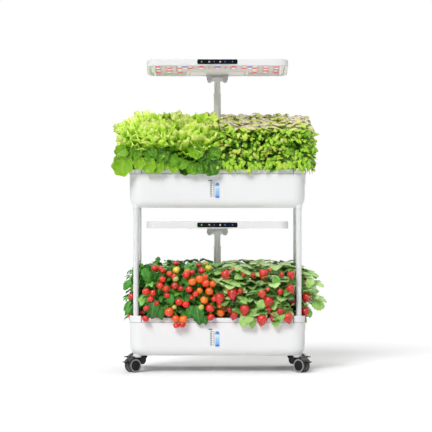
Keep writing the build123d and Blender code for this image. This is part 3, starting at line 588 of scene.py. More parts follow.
def one_sign(sign, colour):
    """One touch sign, about 5 mm across: a power ring, a sun, a plus, a clock or a fan."""
    thick, rise = 0.0008, 0.0005
    if sign == "power":
        parts = [ring(0.0021, thick, rise), bar(0, 0.0019, thick, 0.0026, rise)]
    elif sign == "sun":
        parts = [ring(0.0011, thick, rise, 12)]
        parts += [bar(0.0024 * math.cos(t), 0.0024 * math.sin(t), 0.0011, thick * 0.7, rise, t)
                  for t in (i * math.tau / 8 for i in range(8))]
    elif sign == "plus":
        parts = [bar(0, 0, 0.0036, thick, rise), bar(0, 0, thick, 0.0036, rise)]
    elif sign == "clock":
        parts = [ring(0.0022, thick, rise), bar(0, 0.0007, thick * 0.8, 0.0015, rise),
                 bar(0.0006, 0, 0.0013, thick * 0.8, rise)]
    else:
        parts = [bar(0.0016 * math.cos(t), 0.0016 * math.sin(t), 0.0024, thick, rise, t)
                 for t in (i * math.tau / 3 for i in range(3))] + [ring(0.0006, thick, rise, 10)]
    return joined(f"sign_{sign}", [finished(part, sign_colours[colour]) for part in parts])


def touch_signs(tier):
    """The lit signs of a touch panel and the pale trim round it."""
    face_y, middle_z = -0.1723, 0.024
    panel_width, panel_height, panel_corner, trim_width = 0.139, 0.018, 0.0055, 0.001
    row = ((-0.0537, "power", "green"), (-0.0276, "sun", "white"), (-0.011, "plus", "blue"),
           (0.0097, "clock", "white"), (0.0259, "fan", "blue"), (0.0517, "plus", "blue"))
    parts = [stood(one_sign(sign, colour), (x, face_y, middle_z)) for x, sign, colour in row]
    trim = plate(Matrix.Diagonal((panel_width + trim_width, panel_height + trim_width, 1, 1)))
    rounded = {"offset": panel_corner, "segments": 6, "affect": "VERTICES"}
    hollowed(edited(trim, (bpy.ops.mesh.bevel, rounded)), 1.1 * trim_width)
    modified(trim, "SOLIDIFY", thickness=trim_width / 2, offset=0)
    stood(finished(trim, trim_white), (0, face_y, middle_z))
    on_lamp("touch_signs", parts + [trim], tier)


scale_step, figure_size, figure_gap, ink_thickness = 0.0074, 0.0076, 0.0105, 0.0003
tick_lengths, tick_width, tick_gap, heading_size = (0.0055, 0.0038), 0.0013, 0.0022, (0.013, 0.0032)


def on_wall(tier, x, z):
    """The place on a tank's front wall at an x and a height."""
    return nodes[f"{tier}_tank"].ray_cast(Vector((x, -1, z)), Vector((0, 1, 0)))[1]


def figure(number):
    """A number as a thin mesh, its right-hand side at the origin."""
    clear()
    bpy.ops.object.text_add()
    made = bpy.context.object
    look = {"body": str(number), "size": figure_size, "offset": 0.00022, "extrude": ink_thickness / 2,
            "resolution_u": 2, "align_x": "RIGHT", "align_y": "CENTER"}
    for name, value in look.items():
        setattr(made.data, name, value)
    return meshed(made)


def level_scale(tier):
    """The level scale beside the window: a heading, seven numbers and a ladder of ticks."""
    low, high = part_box(f"{tier}_level_window")
    numbers, left, top_z = range(70, 0, -10), low.x, high.z - 0.002
    parts = []
    for i, number in enumerate(numbers):
        parts.append(stood(figure(number), on_wall(tier, left - figure_gap, top_z - i * scale_step)))
    for i in range(2 * len(numbers) - 1):
        length = tick_lengths[i % 2]
        place = on_wall(tier, left - tick_gap - length / 2, top_z - i * scale_step / 2)
        parts.append(stood(bar(0, 0, length, tick_width, ink_thickness), place))
    heading = bar(0, 0, *heading_size, ink_thickness)
    parts.append(stood(heading, on_wall(tier, left - 0.0165, top_z + 0.0085)))
    parts = [finished(part, scale_ink) for part in parts]
    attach(joined(f"{tier}_level_scale", parts), "frame")


def tyre_finish(corner, axle):
    """Treads painted dark as shade, with paler rings on the wheels' faces, told apart by the axle's way."""
    material, tree, shader, place = fresh(f"{corner}_tyre", Roughness=0.55)
    sides = {0: place.outputs["Normal"], 1: tuple(axle)}
    facing_out = node(tree, "VectorMath", sides, operation="DOT_PRODUCT").outputs["Value"]
    share = remap(tree, maths(tree, "ABSOLUTE", facing_out), 0.6, 0.9)
    cloud = noise(tree, place, 90.0)
    # Painted shade: the treads get a near-black grey, the faces a paler one.
    shaded_tread = ramp(tree, cloud, (0.012, 0.012, 0.0125), (0.025, 0.025, 0.026))
    face = ramp(tree, cloud, (0.3, 0.3, 0.305), (0.36, 0.36, 0.365))
    painted(tree, shader, mixed(tree, share, shaded_tread, face))
    raised(tree, shader, cloud, 0.2, 0.0005)
    return material


swivel_x, swivel_y = 0.273, 0.112
hub_radius, hub_rise, hub_out = 0.0176, 0.1, 0.0165
hub_rim_radius, axle_cap_radius, hub_ring = 0.0169, 0.0035, (0.0018, 0.0016)


def wheel_hubs(corner):
    """The black domed discs in a caster's wheels, each with a raised rim and its axle's cap."""
    low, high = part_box(f"caster_{corner}_wheels")
    middle = (low + high) / 2
    swivel = Vector((math.copysign(swivel_x, middle.x), math.copysign(swivel_y, middle.y), 0))
    trail = Vector((middle.x - swivel.x, middle.y - swivel.y, 0)).normalized()
    axle = up.cross(trail)
    nodes[f"caster_{corner}_wheels"].material_slots[0].material = tyre_finish(corner, axle)
    parts = []
    for side in (-1, 1):
        clear()
        bpy.ops.mesh.primitive_uv_sphere_add(segments=32, ring_count=12, radius=hub_radius)
        dome = bpy.context.object
        dome.data.transform(Matrix.Diagonal((1, 1, hub_rise, 1)))
        cap = ring(axle_cap_radius, *hub_ring, 20)
        cap.data.transform(Matrix.Translation((0, 0, hub_ring[0])))
        disc = joined("hub", [dome, cap, ring(hub_rim_radius, *hub_ring, 40)])
        out = axle * side
        disc.data.transform(facing(middle + out * hub_out, trail, out))
        parts.append(disc)
    hubs = finished(joined(f"{corner}_wheel_hubs", parts), hub_black)
    bpy.ops.object.shade_smooth()
    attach(hubs, f"{corner}_wheels")


cap_length, joint_width, joint_rise = 0.042, 0.0018, 0.0006
rim_corner, corner_steps, shadow_line_proud, shadow_line_radius = 0.045, 8, 0.0002, 0.0009


def cap_joints(tier):
    """The dark upright joints beside the corner caps, on all four sides of the rim."""
    reach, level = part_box(f"{tier}_corner_caps")[1], seam_height[tier]
    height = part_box(f"{tier}_deck")[1].z + 0.004 - level
    middle, sideways = level + height / 2, Matrix.Rotation(math.pi / 2, 4, "Z")
    parts = []
    for side_x in (-1, 1):
        for side_y in (-1, 1):
            front, end = (bar(0, 0, joint_width, height, joint_rise) for _ in range(2))
            parts.append(stood(front, (side_x * (reach.x - cap_length), side_y * reach.y, middle)))
            place = Matrix.Translation((side_x * reach.x, side_y * (reach.y - cap_length), middle))
            end.data.transform(place @ sideways @ upright)
            parts.append(end)
    piece = finished(joined(f"{tier}_cap_joints", parts), joint_dark)
    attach(piece, "frame")


def rim_seal(tier):
    """A thin grey line at the joint between a tank's wall and its rim: painted shadow of the small step
    there.
    """
    low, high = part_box(f"{tier}_corner_caps")
    half_x = (high.x - low.x) / 2 + shadow_line_proud - rim_corner
    half_y = (high.y - low.y) / 2 + shadow_line_proud - rim_corner
    line = round_line(f"{tier}_rim_seal", shadow_line_radius, 1)
    run = line.splines.new("POLY")
    run.use_cyclic_u = True
    turns = [math.tau * (quarter + step / corner_steps) / 4
             for quarter in range(4) for step in range(corner_steps + 1)]
    run.points.add(len(turns) - 1)
    for point, turn in zip(run.points, turns):
        quarter = (turn // (math.pi / 2 + 1e-9)) % 4
        side_x = 1 if quarter in (0, 3) else -1
        side_y = 1 if quarter in (0, 1) else -1
        point.co = (side_x * half_x + rim_corner * math.cos(turn),
                    side_y * half_y + rim_corner * math.sin(turn), seam_height[tier], 1)
    piece = finished(meshed(linked(f"{tier}_rim_seal", line)), seam_shadow_grey)
    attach(piece, "frame")


for tier in tiers:
    lamp_chips(tier)
    lamp_reflectors(tier)
    touch_signs(tier)
    level_scale(tier)
    rim_seal(tier)
    cap_joints(tier)
for corner in ("front_left", "front_right", "rear_left", "rear_right"):
    wheel_hubs(corner)

# Plants: leaves and fruit, modelled once each and copied
leaf_thickness = 0.0005
lump_rise = 0.006

# Stems, the places of the pods they rise from, and how far one may run
stem_radius = 0.0011
stem_start, stem_step, stem_limit = 0.03, 0.01, 0.24
golden_turn = math.radians(137.5)
pod_step, pod_row_step = 0.137, 0.088
pod_height = {tier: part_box(f"{tier}_net_cups")[1].z + 0.0016 for tier in tiers}

# What foliage is kept off: decks, walls, posts, poles and the flap, and the box it stays in
deck_top = {tier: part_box(f"{tier}_deck")[1].z for tier in tiers}
near_gap, far_gap, gap_fade = 0.0016, 0.004, 0.02
wall_width = 0.022
reach_x, reach_y, soft_edge = 0.38, 0.188, 0.014
post_x, post_y, post_radius, pole_radius = 0.277, 0.12, 0.0095, 0.0135
post_places = [(x, y, post_radius) for x in (-post_x, post_x) for y in (-post_y, post_y)]
pole_place = (0.0, pole_y, pole_radius)
uprights = {"lower": [*post_places, pole_place], "upper": [pole_place]}
low_clear, wall_clear, post_clear, fruit_clear = 0.012, 0.05, 0.006, 0.02
flap_x, flap_half = 0.27, 0.05
before_post_half, before_post_depth = 0.024, -0.09

# Where two crops meet, and where the low leaves along the rim lie: at its front and back, and its ends
bed_overlap = 0.018
skirt_across, skirt_out, skirt_rise = (0.005, 0.285), (0.095, 0.128), (0.014, 0.04)
skirt_end_x, skirt_end_y, skirt_end_rise = (0.25, 0.29), (-0.14, 0.14), (0.012, 0.04)

# How far forward leaves and fruit that are laid one by one may stand, and from which height they hang
front_skin, furthest_front, behind_posts, hanging_rise = -0.171, -0.172, -0.092, 0.006
front_step, side_zone = 0.004, 0.25


def blade(length, half, peak=0.75, blunt=0.8, dome=0.1, droop=0.2, fold=0.3,
          rows=0, tooth=0.0, ruffle=0.0, waves=0.0):
    """The form of a leaf's blade: where a point goes, by its share across and along the leaf."""
    def shape(across, along):
        width = half * max(0.0, math.sin(math.pi * along ** peak)) ** blunt
        edge = abs(across) ** 3
        if tooth:
            width *= 1 + tooth * edge * (1 if round(along * rows) % 2 else -1)
        lift = length * (dome * math.sin(math.pi * along) * (1 - across ** 2) - droop * along ** 2)
        lift += fold * width * abs(across)
        lift += ruffle * edge * math.sin(waves * math.pi * along + (1.7 if across > 0 else 0.0))
        return across * width, length * along, lift
    return shape


def leaf_sheet(name, columns, rows, shape, material):
    """A thin closed leaf, from a grid that is shaped, merged at its tips and thickened."""
    clear()
    bpy.ops.mesh.primitive_grid_add(x_subdivisions=columns, y_subdivisions=rows, size=1)
    leaf = bpy.context.object
    leaf.name = name
    for point in leaf.data.vertices:
        point.co = shape(2 * point.co.x, point.co.y + 0.5)
    edited(leaf, (bpy.ops.mesh.remove_doubles, {"threshold": leaf_thickness / 5}))
    modified(leaf, "SOLIDIFY", thickness=leaf_thickness, offset=0)
    bpy.ops.object.shade_smooth()
    return finished(leaf, material)


def tubes(name, routes, thickness, material, tip=0.6):
    """Stems: a closed tube along each route, thinner towards its tip, all in one mesh."""
    line = round_line(name, thickness, 0)
    line.resolution_u = 3
    line.use_fill_caps = True
    for route in routes:
        run = line.splines.new("NURBS")
        run.points.add(len(route) - 1)
        for i, place in enumerate(route):
            run.points[i].co = (*place, 1)
            run.points[i].radius = 1 - (1 - tip) * i / (len(route) - 1)
        run.order_u = 3
        run.use_endpoint_u = True
    piece = meshed(linked(name, line))
    bpy.ops.object.shade_smooth()
    return finished(piece, material)


def turned(place, yaw=0.0, size=1.0, tip=0.0):
    return (Matrix.Translation(place) @ Matrix.Rotation(yaw, 4, "Z")
            @ Matrix.Rotation(tip, 4, "X") @ Matrix.Scale(size, 4))


def compound(name, leaflet, leaflets, stalk):
    """A leaf of several leaflets on one stalk."""
    parts = [copied(leaflet, place) for place in leaflets]
    parts.append(tubes(name + "_stalk", [stalk], stem_radius, green_stem))
    return joined(name, parts)


def off(depth):
    """How far off a wall a point ends, by how deep it lay in it: never two of them at one place."""
    return near_gap + (far_gap - near_gap) * np.exp(-(depth + far_gap) / gap_fade)


def points_of(piece):
    """A mesh's points, one row each."""
    flat = np.empty(len(piece.data.vertices) * 3, np.float32)
    piece.data.vertices.foreach_get("co", flat)
    return flat.reshape(-1, 3)


def kept_clear(piece, tier):
    """Lays foliage on the rim and deck, and moves it off the tank's walls, the posts and the pole."""
    spots = points_of(piece)
    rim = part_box(f"{tier}_corner_caps")[1]
    for axis, reach in ((0, reach_x), (1, reach_y)):
        over = np.maximum(np.abs(spots[:, axis]) - reach + soft_edge, 0)
        bent = np.sign(spots[:, axis]) * (reach - soft_edge * np.exp(-over / soft_edge))
        spots[:, axis] = np.where(over > 0, bent, spots[:, axis])
    out_x = rim.x - np.abs(spots[:, 0])
    out_y = rim.y - np.abs(spots[:, 1])
    rest = np.where((out_x > wall_width) & (out_y > wall_width), deck_top[tier], rim.z)
    lift = rest - spots[:, 2]
    least = np.minimum(np.minimum(out_x, out_y), lift)
    caught = least > -far_gap
    for axis, out in ((0, out_x), (1, out_y)):
        pushed = caught & (out == least)
        spots[pushed, axis] += np.sign(spots[pushed, axis]) * (out[pushed] + off(out[pushed]))
    lifted = caught & (lift == least)
    spots[lifted, 2] += lift[lifted] + off(lift[lifted])
    for x, y, radius in uprights[tier]:
        away = spots[:, :2] - np.array((x, y), np.float32)
        distance = np.maximum(np.linalg.norm(away, axis=1), 1e-5)
        near = distance < radius + far_gap
        apart = radius + off(radius - distance[near])
        spots[near, :2] += away[near] * (apart / distance[near] - 1)[:, None]
    piece.data.vertices.foreach_set("co", spots.ravel())
    piece.data.update()


def planted(part, pieces, room, moved=True):
    """Joins a crop's pieces, moves them clear of the trolley and rides them in its plain crown's place."""
    crop, tier = room["name"], room["tier"]
    piece = joined(f"{crop}_{part}", pieces)
    if moved:
        kept_clear(piece, tier)
    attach(piece, f"{tier}_planting_deck")
    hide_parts(f"{crop}_plants")


def bed(name, tier, side, reach, depth, front_top, rear_top, fullness):
    """The room that one crop fills: its box, its top's height in front and behind, and its pods."""
    near, far = -side * bed_overlap, side * reach
    pods = [Vector((side * pod_step * (0.5 + i), pod_row_step * j, pod_height[tier]))
            for j in (-1, 0, 1) for i in (0, 1)]
    return {"name": name, "tier": tier, "rim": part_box(f"{tier}_corner_caps")[1],
            "low": Vector((min(near, far), -depth, pod_height[tier] - 0.002)),
            "high": Vector((max(near, far), depth, rear_top)), "front_top": front_top,
            "fullness": fullness, "pods": pods}


def outness(crop, place):
    """How far out in a bed a place lies, 0 at its heart and 1 at its skin, and the way outwards."""
    low, high, power = crop["low"], crop["high"], crop["fullness"]
    rise = (place.y - low.y) / (high.y - low.y)
    lumps = lump_rise * math.cos(math.tau * place.x / pod_step + math.pi)
    lumps *= math.cos(math.tau * place.y / pod_row_step)
    top = crop["front_top"] + (high.z - crop["front_top"]) * rise + lumps
    half = (high - low) / 2
    shares = Vector(((place.x - low.x) / half.x - 1, (place.y - low.y) / half.y - 1,
                     (place.z - low.z) / (top - low.z)))
    if shares.z < 0:
        return 2.0, up
    out = Vector([math.copysign(abs(s) ** (power - 1), s) / r
                  for s, r in zip(shares, (half.x, half.y, top - low.z))])
    return sum(abs(s) ** power for s in shares) ** (1 / power), out.normalized()


def places(crop, count, inner, outer, gap, tries=40):
    """Random places between two depths of a bed, none nearer to another than the gap."""
    found, kept = [], np.zeros((0, 3))
    for _ in range(count * tries):
        if len(found) == count:
            break
        spot = Vector([chance.uniform(a, b) for a, b in zip(crop["low"], crop["high"])])
        depth, out = outness(crop, spot)
        by_wall = spot.z < crop["rim"].z + low_clear and 0 < crop["rim"].y - abs(spot.y) < wall_clear
        if by_wall or not inner <= depth <= outer:
            continue
        if len(kept) and np.min(np.sum((kept - np.array(spot)) ** 2, axis=1)) < gap * gap:
            continue
        kept = np.vstack((kept, np.array(spot)))
        found.append((spot, out))
    return found


def skirt(crop, count):
    """Places low along the rim, where leaves close the view under the foliage."""
    rim, side = crop["rim"], math.copysign(1, crop["low"].x + crop["high"].x)
    found = []
    for _ in range(count):
        front = chance.choice((-1, -1, 1))
        across = side * chance.uniform(*skirt_across)
        if front < 0 or chance.random() < 0.7:
            place = Vector((across, front * chance.uniform(*skirt_out), rim.z + chance.uniform(*skirt_rise)))
            out = Vector((0, front, 0.35))
        else:
            place = Vector((side * chance.uniform(*skirt_end_x), chance.uniform(*skirt_end_y),
                            rim.z + chance.uniform(*skirt_end_rise)))
            out = Vector((side, 0, 0.35))
        found.append((place, out.normalized()))
    return found


def stems(crop, count, reach=0.82):
    """Stems from each pod out to the bed's skin: their routes, and the points along them."""
    routes, marks = [], []
    for pod in crop["pods"]:
        for i in range(count):
            turn = i * golden_turn + chance.uniform(-0.4, 0.4)
            rise = math.radians(chance.uniform(32, 84))
            way = Vector((math.cos(turn) * math.cos(rise), math.sin(turn) * math.cos(rise), math.sin(rise)))
            start = pod + Vector((math.cos(turn), math.sin(turn), 0)) * 0.006
            length = stem_start
            while length < stem_limit and outness(crop, start + way * length)[0] < reach:
                length += stem_step
            end = start + way * length
            route = [start, start + up * length * 0.3, start.lerp(end, 0.55) + up * length * 0.14, end]
            routes.append(route)
            marks += [a.lerp(b, t) for a, b in zip(route[1:], route[2:]) for t in (0, 0.33, 0.66)] + [end]
    return routes, marks


def petioles(leaves, marks, sag=0.15):
    """A stalk to each leaf from the nearest point of a stem."""
    points = np.array(marks)
    routes = []
    for place in leaves:
        far = points - np.array(place)
        cost = np.sum(far ** 2, axis=1) + np.maximum(far[:, 2], 0) * 0.02
        start = marks[int(np.argmin(cost))]
        middle = start.lerp(place, 0.5) + up * (place - start).length * sag
        routes.append([start, middle, place])
    return routes


def sighted(pixel_x, pixel_y, depth):
    """The place at a depth that the camera sees at a pixel of the photograph's frame."""
    scale = pixels_per_metre * view_distance / (depth - camera.location.y)
    return Vector((view_side + (pixel_x - photo_pixels / 2) / scale, depth,
                   eye_height + (photo_pixels / 2 - pixel_y) / scale))


def front_of(crop, pixel_x, pixel_y, proud=0.0):
    """The place on a bed's front skin, or before the tank's wall, that the camera sees at a pixel."""
    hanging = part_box(f"{crop['tier']}_corner_caps")[1].z + hanging_rise
    depth = front_skin
    place = sighted(pixel_x, pixel_y, depth)
    if crop["tier"] == "lower" and abs(place.x) > side_zone and place.z > hanging - 0.02:
        return sighted(pixel_x, pixel_y, behind_posts)
    while depth < 0 and place.z > hanging and outness(crop, place)[0] > 1:
        depth += front_step
        place = sighted(pixel_x, pixel_y, depth)
    place.y = max(place.y - proud, furthest_front)
    return place


def pixel_of(place):
    """The pixel of the photograph's frame at which the camera sees a place."""
    scale = pixels_per_metre * view_distance / (place.y - camera.location.y)
    return (photo_pixels / 2 + (place.x - view_side) * scale,
            photo_pixels / 2 - (place.z - eye_height) * scale)


def ease(value, low, high):
    """A smooth rise from 0 to 1 between two values."""
    share = min(1.0, max(0.0, (value - low) / (high - low)))
    return share * share * (3 - 2 * share)


def before_post(place):
    """Whether a place lies in front of a front post."""
    return abs(abs(place.x) - post_x) < before_post_half and place.y < before_post_depth


def hung(crop, leaf, spots):
    """Leaves laid one by one over the rim: each its middle's pixel, radius, turn from downwards and tint."""
    made = []
    for pixel_x, pixel_y, radius, way, tint in spots:
        turn = math.radians(way)
        along = Vector((math.sin(turn), -0.12, -math.cos(turn))).normalized()
        size = 2 * radius / pixels_per_metre / leaf.dimensions.y
        start = front_of(crop, pixel_x, pixel_y, 0.004) - along * radius / pixels_per_metre
        face = Vector((chance.uniform(-0.5, 0.5), -1, chance.uniform(0.1, 0.7)))
        made.append((start, copied(leaf, facing(start, along, face, size), tint)))
    return made


def crowned(wild):
    """Young leaves in layers: level on a bed's top, and drooping outwards at its sides."""
    def way(place, out):
        turn = chance.uniform(0, math.tau)
        level = Vector((math.cos(turn), 0.6 * math.sin(turn) - 0.2, 0.05))
        drooping = Vector((out.x, out.y, -0.5)) + jitter(0.5)
        along = drooping.lerp(level, ease(out.z, 0.3, 0.8)) + jitter(wild)
        return along, Vector((0, -0.5, 1)) + jitter(2 * wild)
    return way


def outward(droop, wild):
    """Leaves that point outwards and hang a little, their faces up and out."""
    def way(place, out):
        flat = Vector((out.x, out.y, 0))
        along = out * 0.5 + flat * 0.3 - up * droop * (1 - out.z) + jitter(wild)
        return along, out * 0.9 + up * 0.55 + jitter(0.35)
    return way


def layered(tilt, wild):
    """Leaves held nearly level in tiers, their faces up and a little out."""
    def way(place, out):
        turn = chance.uniform(0, math.tau)
        along = Vector((math.cos(turn), math.sin(turn), -0.1)) + out * 0.35 + jitter(wild)
        return along, up + out * tilt + jitter(wild)
    return way


def tiered(crop, leaf, spots):
    """Leaves laid one by one in tiers, level and towards the front: each its pixel, size, turn and tint."""
    made = []
    for pixel_x, pixel_y, size, way, tint in spots:
        turn = math.radians(way)
        along = Vector((math.sin(turn), -math.cos(turn), -0.16))
        start = front_of(crop, pixel_x, pixel_y) + Vector((0, 0.03, 0))
        face = Vector((chance.uniform(-0.1, 0.1), -0.42, 1))
        made.append((start, copied(leaf, facing(start, along, face, size), tint)))
    return made


def by_upright(place, tier, gap=0.0):
    """Whether a place lies nearer than a gap to a post or the pole."""
    return any(math.hypot(place.x - x, place.y - y) < r + gap for x, y, r in uprights[tier])


def pierced(piece, tier):
    """Whether a leaf passes through a post or the pole."""
    spots = points_of(piece)
    return any(np.min(np.hypot(spots[:, 0] - x, spots[:, 1] - y)) < r for x, y, r in uprights[tier])


def passing(routes, tier):
    """The routes that pass through no post and not through the pole."""
    def blocked(route):
        marks = [a.lerp(b, i / 8) for a, b in zip(route, route[1:]) for i in range(9)]
        return any(by_upright(mark, tier) for mark in marks)
    return [route for route in routes if not blocked(route)]


def grown(crop, leaf, spots, sizes, tints, way, inset=0.6, covered=(), bare=1.0):
    """Leaves whose tips lie at their places, but none on a post or over the given fruit."""
    made, starts = [], []
    for place, out in spots:
        along, face = way(place, out)
        size = chance.uniform(*sizes)
        start = place - along.normalized() * leaf.dimensions.y * size * inset
        middle = start.lerp(place, 0.6)
        pixel_x, pixel_y = pixel_of(middle)
        on_post = by_upright(middle, crop["tier"], post_clear)
        on_post |= crop["tier"] == "lower" and before_post(middle)
        hides = any(middle.y < fruit_y + fruit_clear and math.hypot(pixel_x - x, pixel_y - y) < r * bare
                    for x, y, r, fruit_y in covered)
        low_down = middle.z < crop["rim"].z + low_clear
        over_flap = low_down and middle.x > flap_x and abs(middle.y) < flap_half
        if on_post or hides or over_flap:
            continue
        piece = copied(leaf, facing(start, along, face, size), tints(place, out))
        if pierced(piece, crop["tier"]):
            bpy.data.objects.remove(piece)
            continue
        made.append(piece)
        starts.append(start)
    return made, starts


def stalked(crop, part, radius, routes, marks, bases):
    """Plants a crop's stems, and the stalks from them to its leaves and fruit."""
    routes = passing(routes + petioles(bases, marks), crop["tier"])
    planted(part, [tubes(f"{crop['name']}_{part}", routes, radius, green_stem)], crop)


# The leaves' and the fruits' finishes
leaf_greens = {
    "basil": ((0.03, 0.13, 0.005), (0.17, 0.46, 0.014), (0.42, 0.76, 0.03), (0.72, 0.73, 0.14),
              (0.78, 0.63, 0.66)),
    "tomato": ((0.014, 0.1, 0.012), (0.06, 0.29, 0.03), (0.16, 0.52, 0.07), (0.36, 0.7, 0.18)),
    "strawberry": ((0.04, 0.18, 0.012), (0.17, 0.46, 0.05), (0.43, 0.71, 0.18), (0.68, 0.86, 0.42)),
    "lettuce": ((0.012, 0.07, 0.002), (0.11, 0.37, 0.006), (0.28, 0.66, 0.012), (0.56, 0.9, 0.04),
                (0.84, 0.95, 0.26)),
    "rim_lettuce": ((0.022, 0.11, 0.001), (0.13, 0.36, 0.004), (0.28, 0.52, 0.02), (0.5, 0.74, 0.07)),
}
basil_leaf = leafy("basil_leaf", leaf_greens["basil"], (0.42, 0.6, 0.2), 3.0)
tomato_leaf = leafy("tomato_leaf", leaf_greens["tomato"], (0.24, 0.48, 0.14), 4.0, 0.4)
strawberry_leaf = leafy("strawberry_leaf", leaf_greens["strawberry"], (0.45, 0.64, 0.32), 5.0, 0.42,
                        margin=(0.72, 0.85, 0.55))
# The lettuce's frilled margins carry a painted highlight.
lettuce_leaf = leafy("lettuce_leaf", leaf_greens["lettuce"], (0.55, 0.8, 0.14), 4.0, 0.34, 0.3,
                     glow=0.22, crinkle=0.15, frill_highlight=0.3)
round_lettuce_leaf = leafy("rim_lettuce_leaf", leaf_greens["rim_lettuce"], (0.42, 0.66, 0.1), 3.0, 0.4, 0.3,
                           glow=0.1, crinkle=0.1, frill_highlight=0.2)
green_stem = moulded("green_stem", (0.2, 0.42, 0.06), 0.5, 0.25, 300.0, 0.3)
tomato_skin = skinned("tomato_skin", ((0.35, 0.5, 0.12), (0.85, 0.72, 0.05), (0.9, 0.2, 0.008),
                                      (0.8, 0.02, 0.008), (0.4, 0.006, 0.004)), (0.0, 0.25, 0.5, 0.75, 1.0))
strawberry_skin = skinned("strawberry_skin", ((0.6, 0.65, 0.3), (0.85, 0.2, 0.08), (0.68, 0.01, 0.012),
                                              (0.36, 0.003, 0.006)), (0.0, 0.4, 0.72, 1.0), 0.28, seeds=True)
templates = []


def tinted(middle, spread, paler_from=None, young=0.0):
    """A leaf's tint: at random about the middle, and paler above a height: on basil the young leaves' own
    hue, on tomatoes and strawberries painted light on the sunlit tops.
    """
    def tint(place, out):
        height_share = 0.0 if paler_from is None else ease(place.z, paler_from, paler_from + 0.04)
        return min(1.0, max(0.0, chance.gauss(middle + young * height_share, spread)))
    return tint


# Basil leaves laid over the rim: each its pixel across and down, its radius, its turn and its tint
basil_rim_leaves = (
    (231.3, 168.9, 4.0, -4, 0.52), (250, 170.7, 5.0, 2, 0.58), (240, 167, 3.2, 8, 0.5),
    (257, 166, 3.4, -10, 0.46), (270.7, 165, 3.8, 5, 0.5), (290, 167, 3.8, -6, 0.52),
    (300, 165.5, 3.0, 10, 0.5), (308.7, 166, 4.6, 6, 0.55), (315, 134.2, 4.4, 100, 0.45),
    (315, 149.5, 4.2, 60, 0.4), (258.5, 115.6, 3.2, 180, 0.66), (280, 168.5, 3.0, -14, 0.5))
fringe_across, fringe_down, fringe_radius = (217, 311), (162, 169), (2.6, 4.0)
young_height = 0.822


def grow_basil():
    """Stems with small domed leaves, and flat ones tinged with purple in layers over them."""
    crop = bed("basil", "upper", 1, 0.335, 0.173, 0.836, 0.902, 8.0)
    leaf = leaf_sheet("basil_blade", 3, 6, blade(0.026, 0.0068, 0.85, 0.75, 0.12, 0.25, 0.3), basil_leaf)
    young_leaf = leaf_sheet("basil_young_blade", 3, 6, blade(0.031, 0.0062, 0.9, 0.8, 0.1, 0.3, 0.3),
                            basil_leaf)
    routes, marks = stems(crop, 9)
    skin = places(crop, 1950, 0.86, 1.0, 0.006)
    young = [(place, out) for place, out in skin if out.z > 0.8 or place.z > young_height]
    old = [(place, out) for place, out in skin if not (out.z > 0.8 or place.z > young_height)]
    heart = places(crop, 760, 0.45, 0.88, 0.0115)
    sides, side_starts = grown(crop, leaf, old, (0.7, 1.1), tinted(0.5, 0.11), outward(0.4, 0.8), 0.5)
    top, top_starts = grown(crop, young_leaf, young, (0.85, 1.4), tinted(0.6, 0.14, 0.81, 0.24), crowned(0.2),
                            0.5)
    heart += skirt(crop, 120)
    inner, inner_starts = grown(crop, leaf, heart, (1.0, 1.4), tinted(0.28, 0.09), outward(0.6, 0.6))
    fringe = tuple((chance.uniform(*fringe_across), chance.uniform(*fringe_down),
                    chance.uniform(*fringe_radius), chance.uniform(-50, 50), chance.uniform(0.3, 0.62))
                   for _ in range(46))
    edge = hung(crop, leaf, basil_rim_leaves + fringe)
    planted("leaves", sides + [piece for _, piece in edge], crop)
    planted("top_leaves", top, crop)
    planted("heart_leaves", inner, crop)
    bases = side_starts + top_starts + inner_starts + [start for start, _ in edge]
    stalked(crop, "stems", stem_radius, routes, marks, bases)
    templates.extend((leaf, young_leaf))


def crumpled(length, half_turn, droop, ruffle, rows, columns):
    """A frilled leaf: a fan from a narrow rib, bent back at its end, its margin in many small folds."""
    def shape(across, along):
        flip = 1 if (round(along * rows) + round((across + 1) / 2 * columns)) % 2 else -1
        turn = across * math.radians(half_turn) * (0.1 + 0.9 * ease(along, 0.25, 0.75))
        edge = max(abs(across) ** 2 * ease(along, 0.25, 0.6), ease(along, 0.3, 0.85))
        radius = length * along * (1 - 0.12 * across ** 2) + chance.uniform(-1, 1) * 0.5 * ruffle * edge
        lift = length * (0.4 * across ** 2 * along * (1 - 0.6 * along) - droop * ease(along, 0.4, 1.3))
        lift += ruffle * edge * flip * chance.uniform(0.3, 1.4)
        lift += 1.6 * ruffle * edge * math.sin(3.4 * math.pi * across + 6 * along)
        return radius * math.sin(turn), radius * math.cos(turn), lift
    return shape


def lobed(radius, lobes, cup):
    """A round leaf with its stalk at its edge, its margin in shallow lobes and waves."""
    def shape(across, along):
        x = across * radius * math.sin(math.pi * along)
        y = -math.cos(math.pi * along) * radius
        far, turn = math.hypot(x, y) / radius, math.atan2(x, -y)
        inward = 1 - far ** 3 * (0.07 * (1 - math.cos(lobes * turn)) + 0.25 * math.exp(-(turn / 0.35) ** 2))
        lift = cup * far ** 2 * (0.3 + 0.7 * abs(across)) - 0.3 * along ** 2
        lift += 0.11 * far ** 3 * math.sin(lobes * turn + 0.6)
        return x * inward, y * inward + radius, lift * radius
    return shape


# Tips of the tallest lettuce leaves: each its pixel across and down, and how deep it stands
lettuce_peaks = (
    (117, 122.5, 0.03), (120.5, 126, -0.04), (125.5, 119, 0.05), (130, 117, 0.04), (135.8, 115, 0.03),
    (153.8, 111.4, 0.05), (165.3, 112, 0.06), (183.2, 114.6, 0.05), (199.7, 112.6, 0.04), (210.5, 111, 0.02),
    (205.5, 113, 0.0), (214.5, 115.5, 0.03), (218.5, 117, 0.015), (222, 119, 0.0), (207, 119, -0.05),
    (213, 123, -0.04), (176, 113.5, 0.03), (146, 114, 0.02))

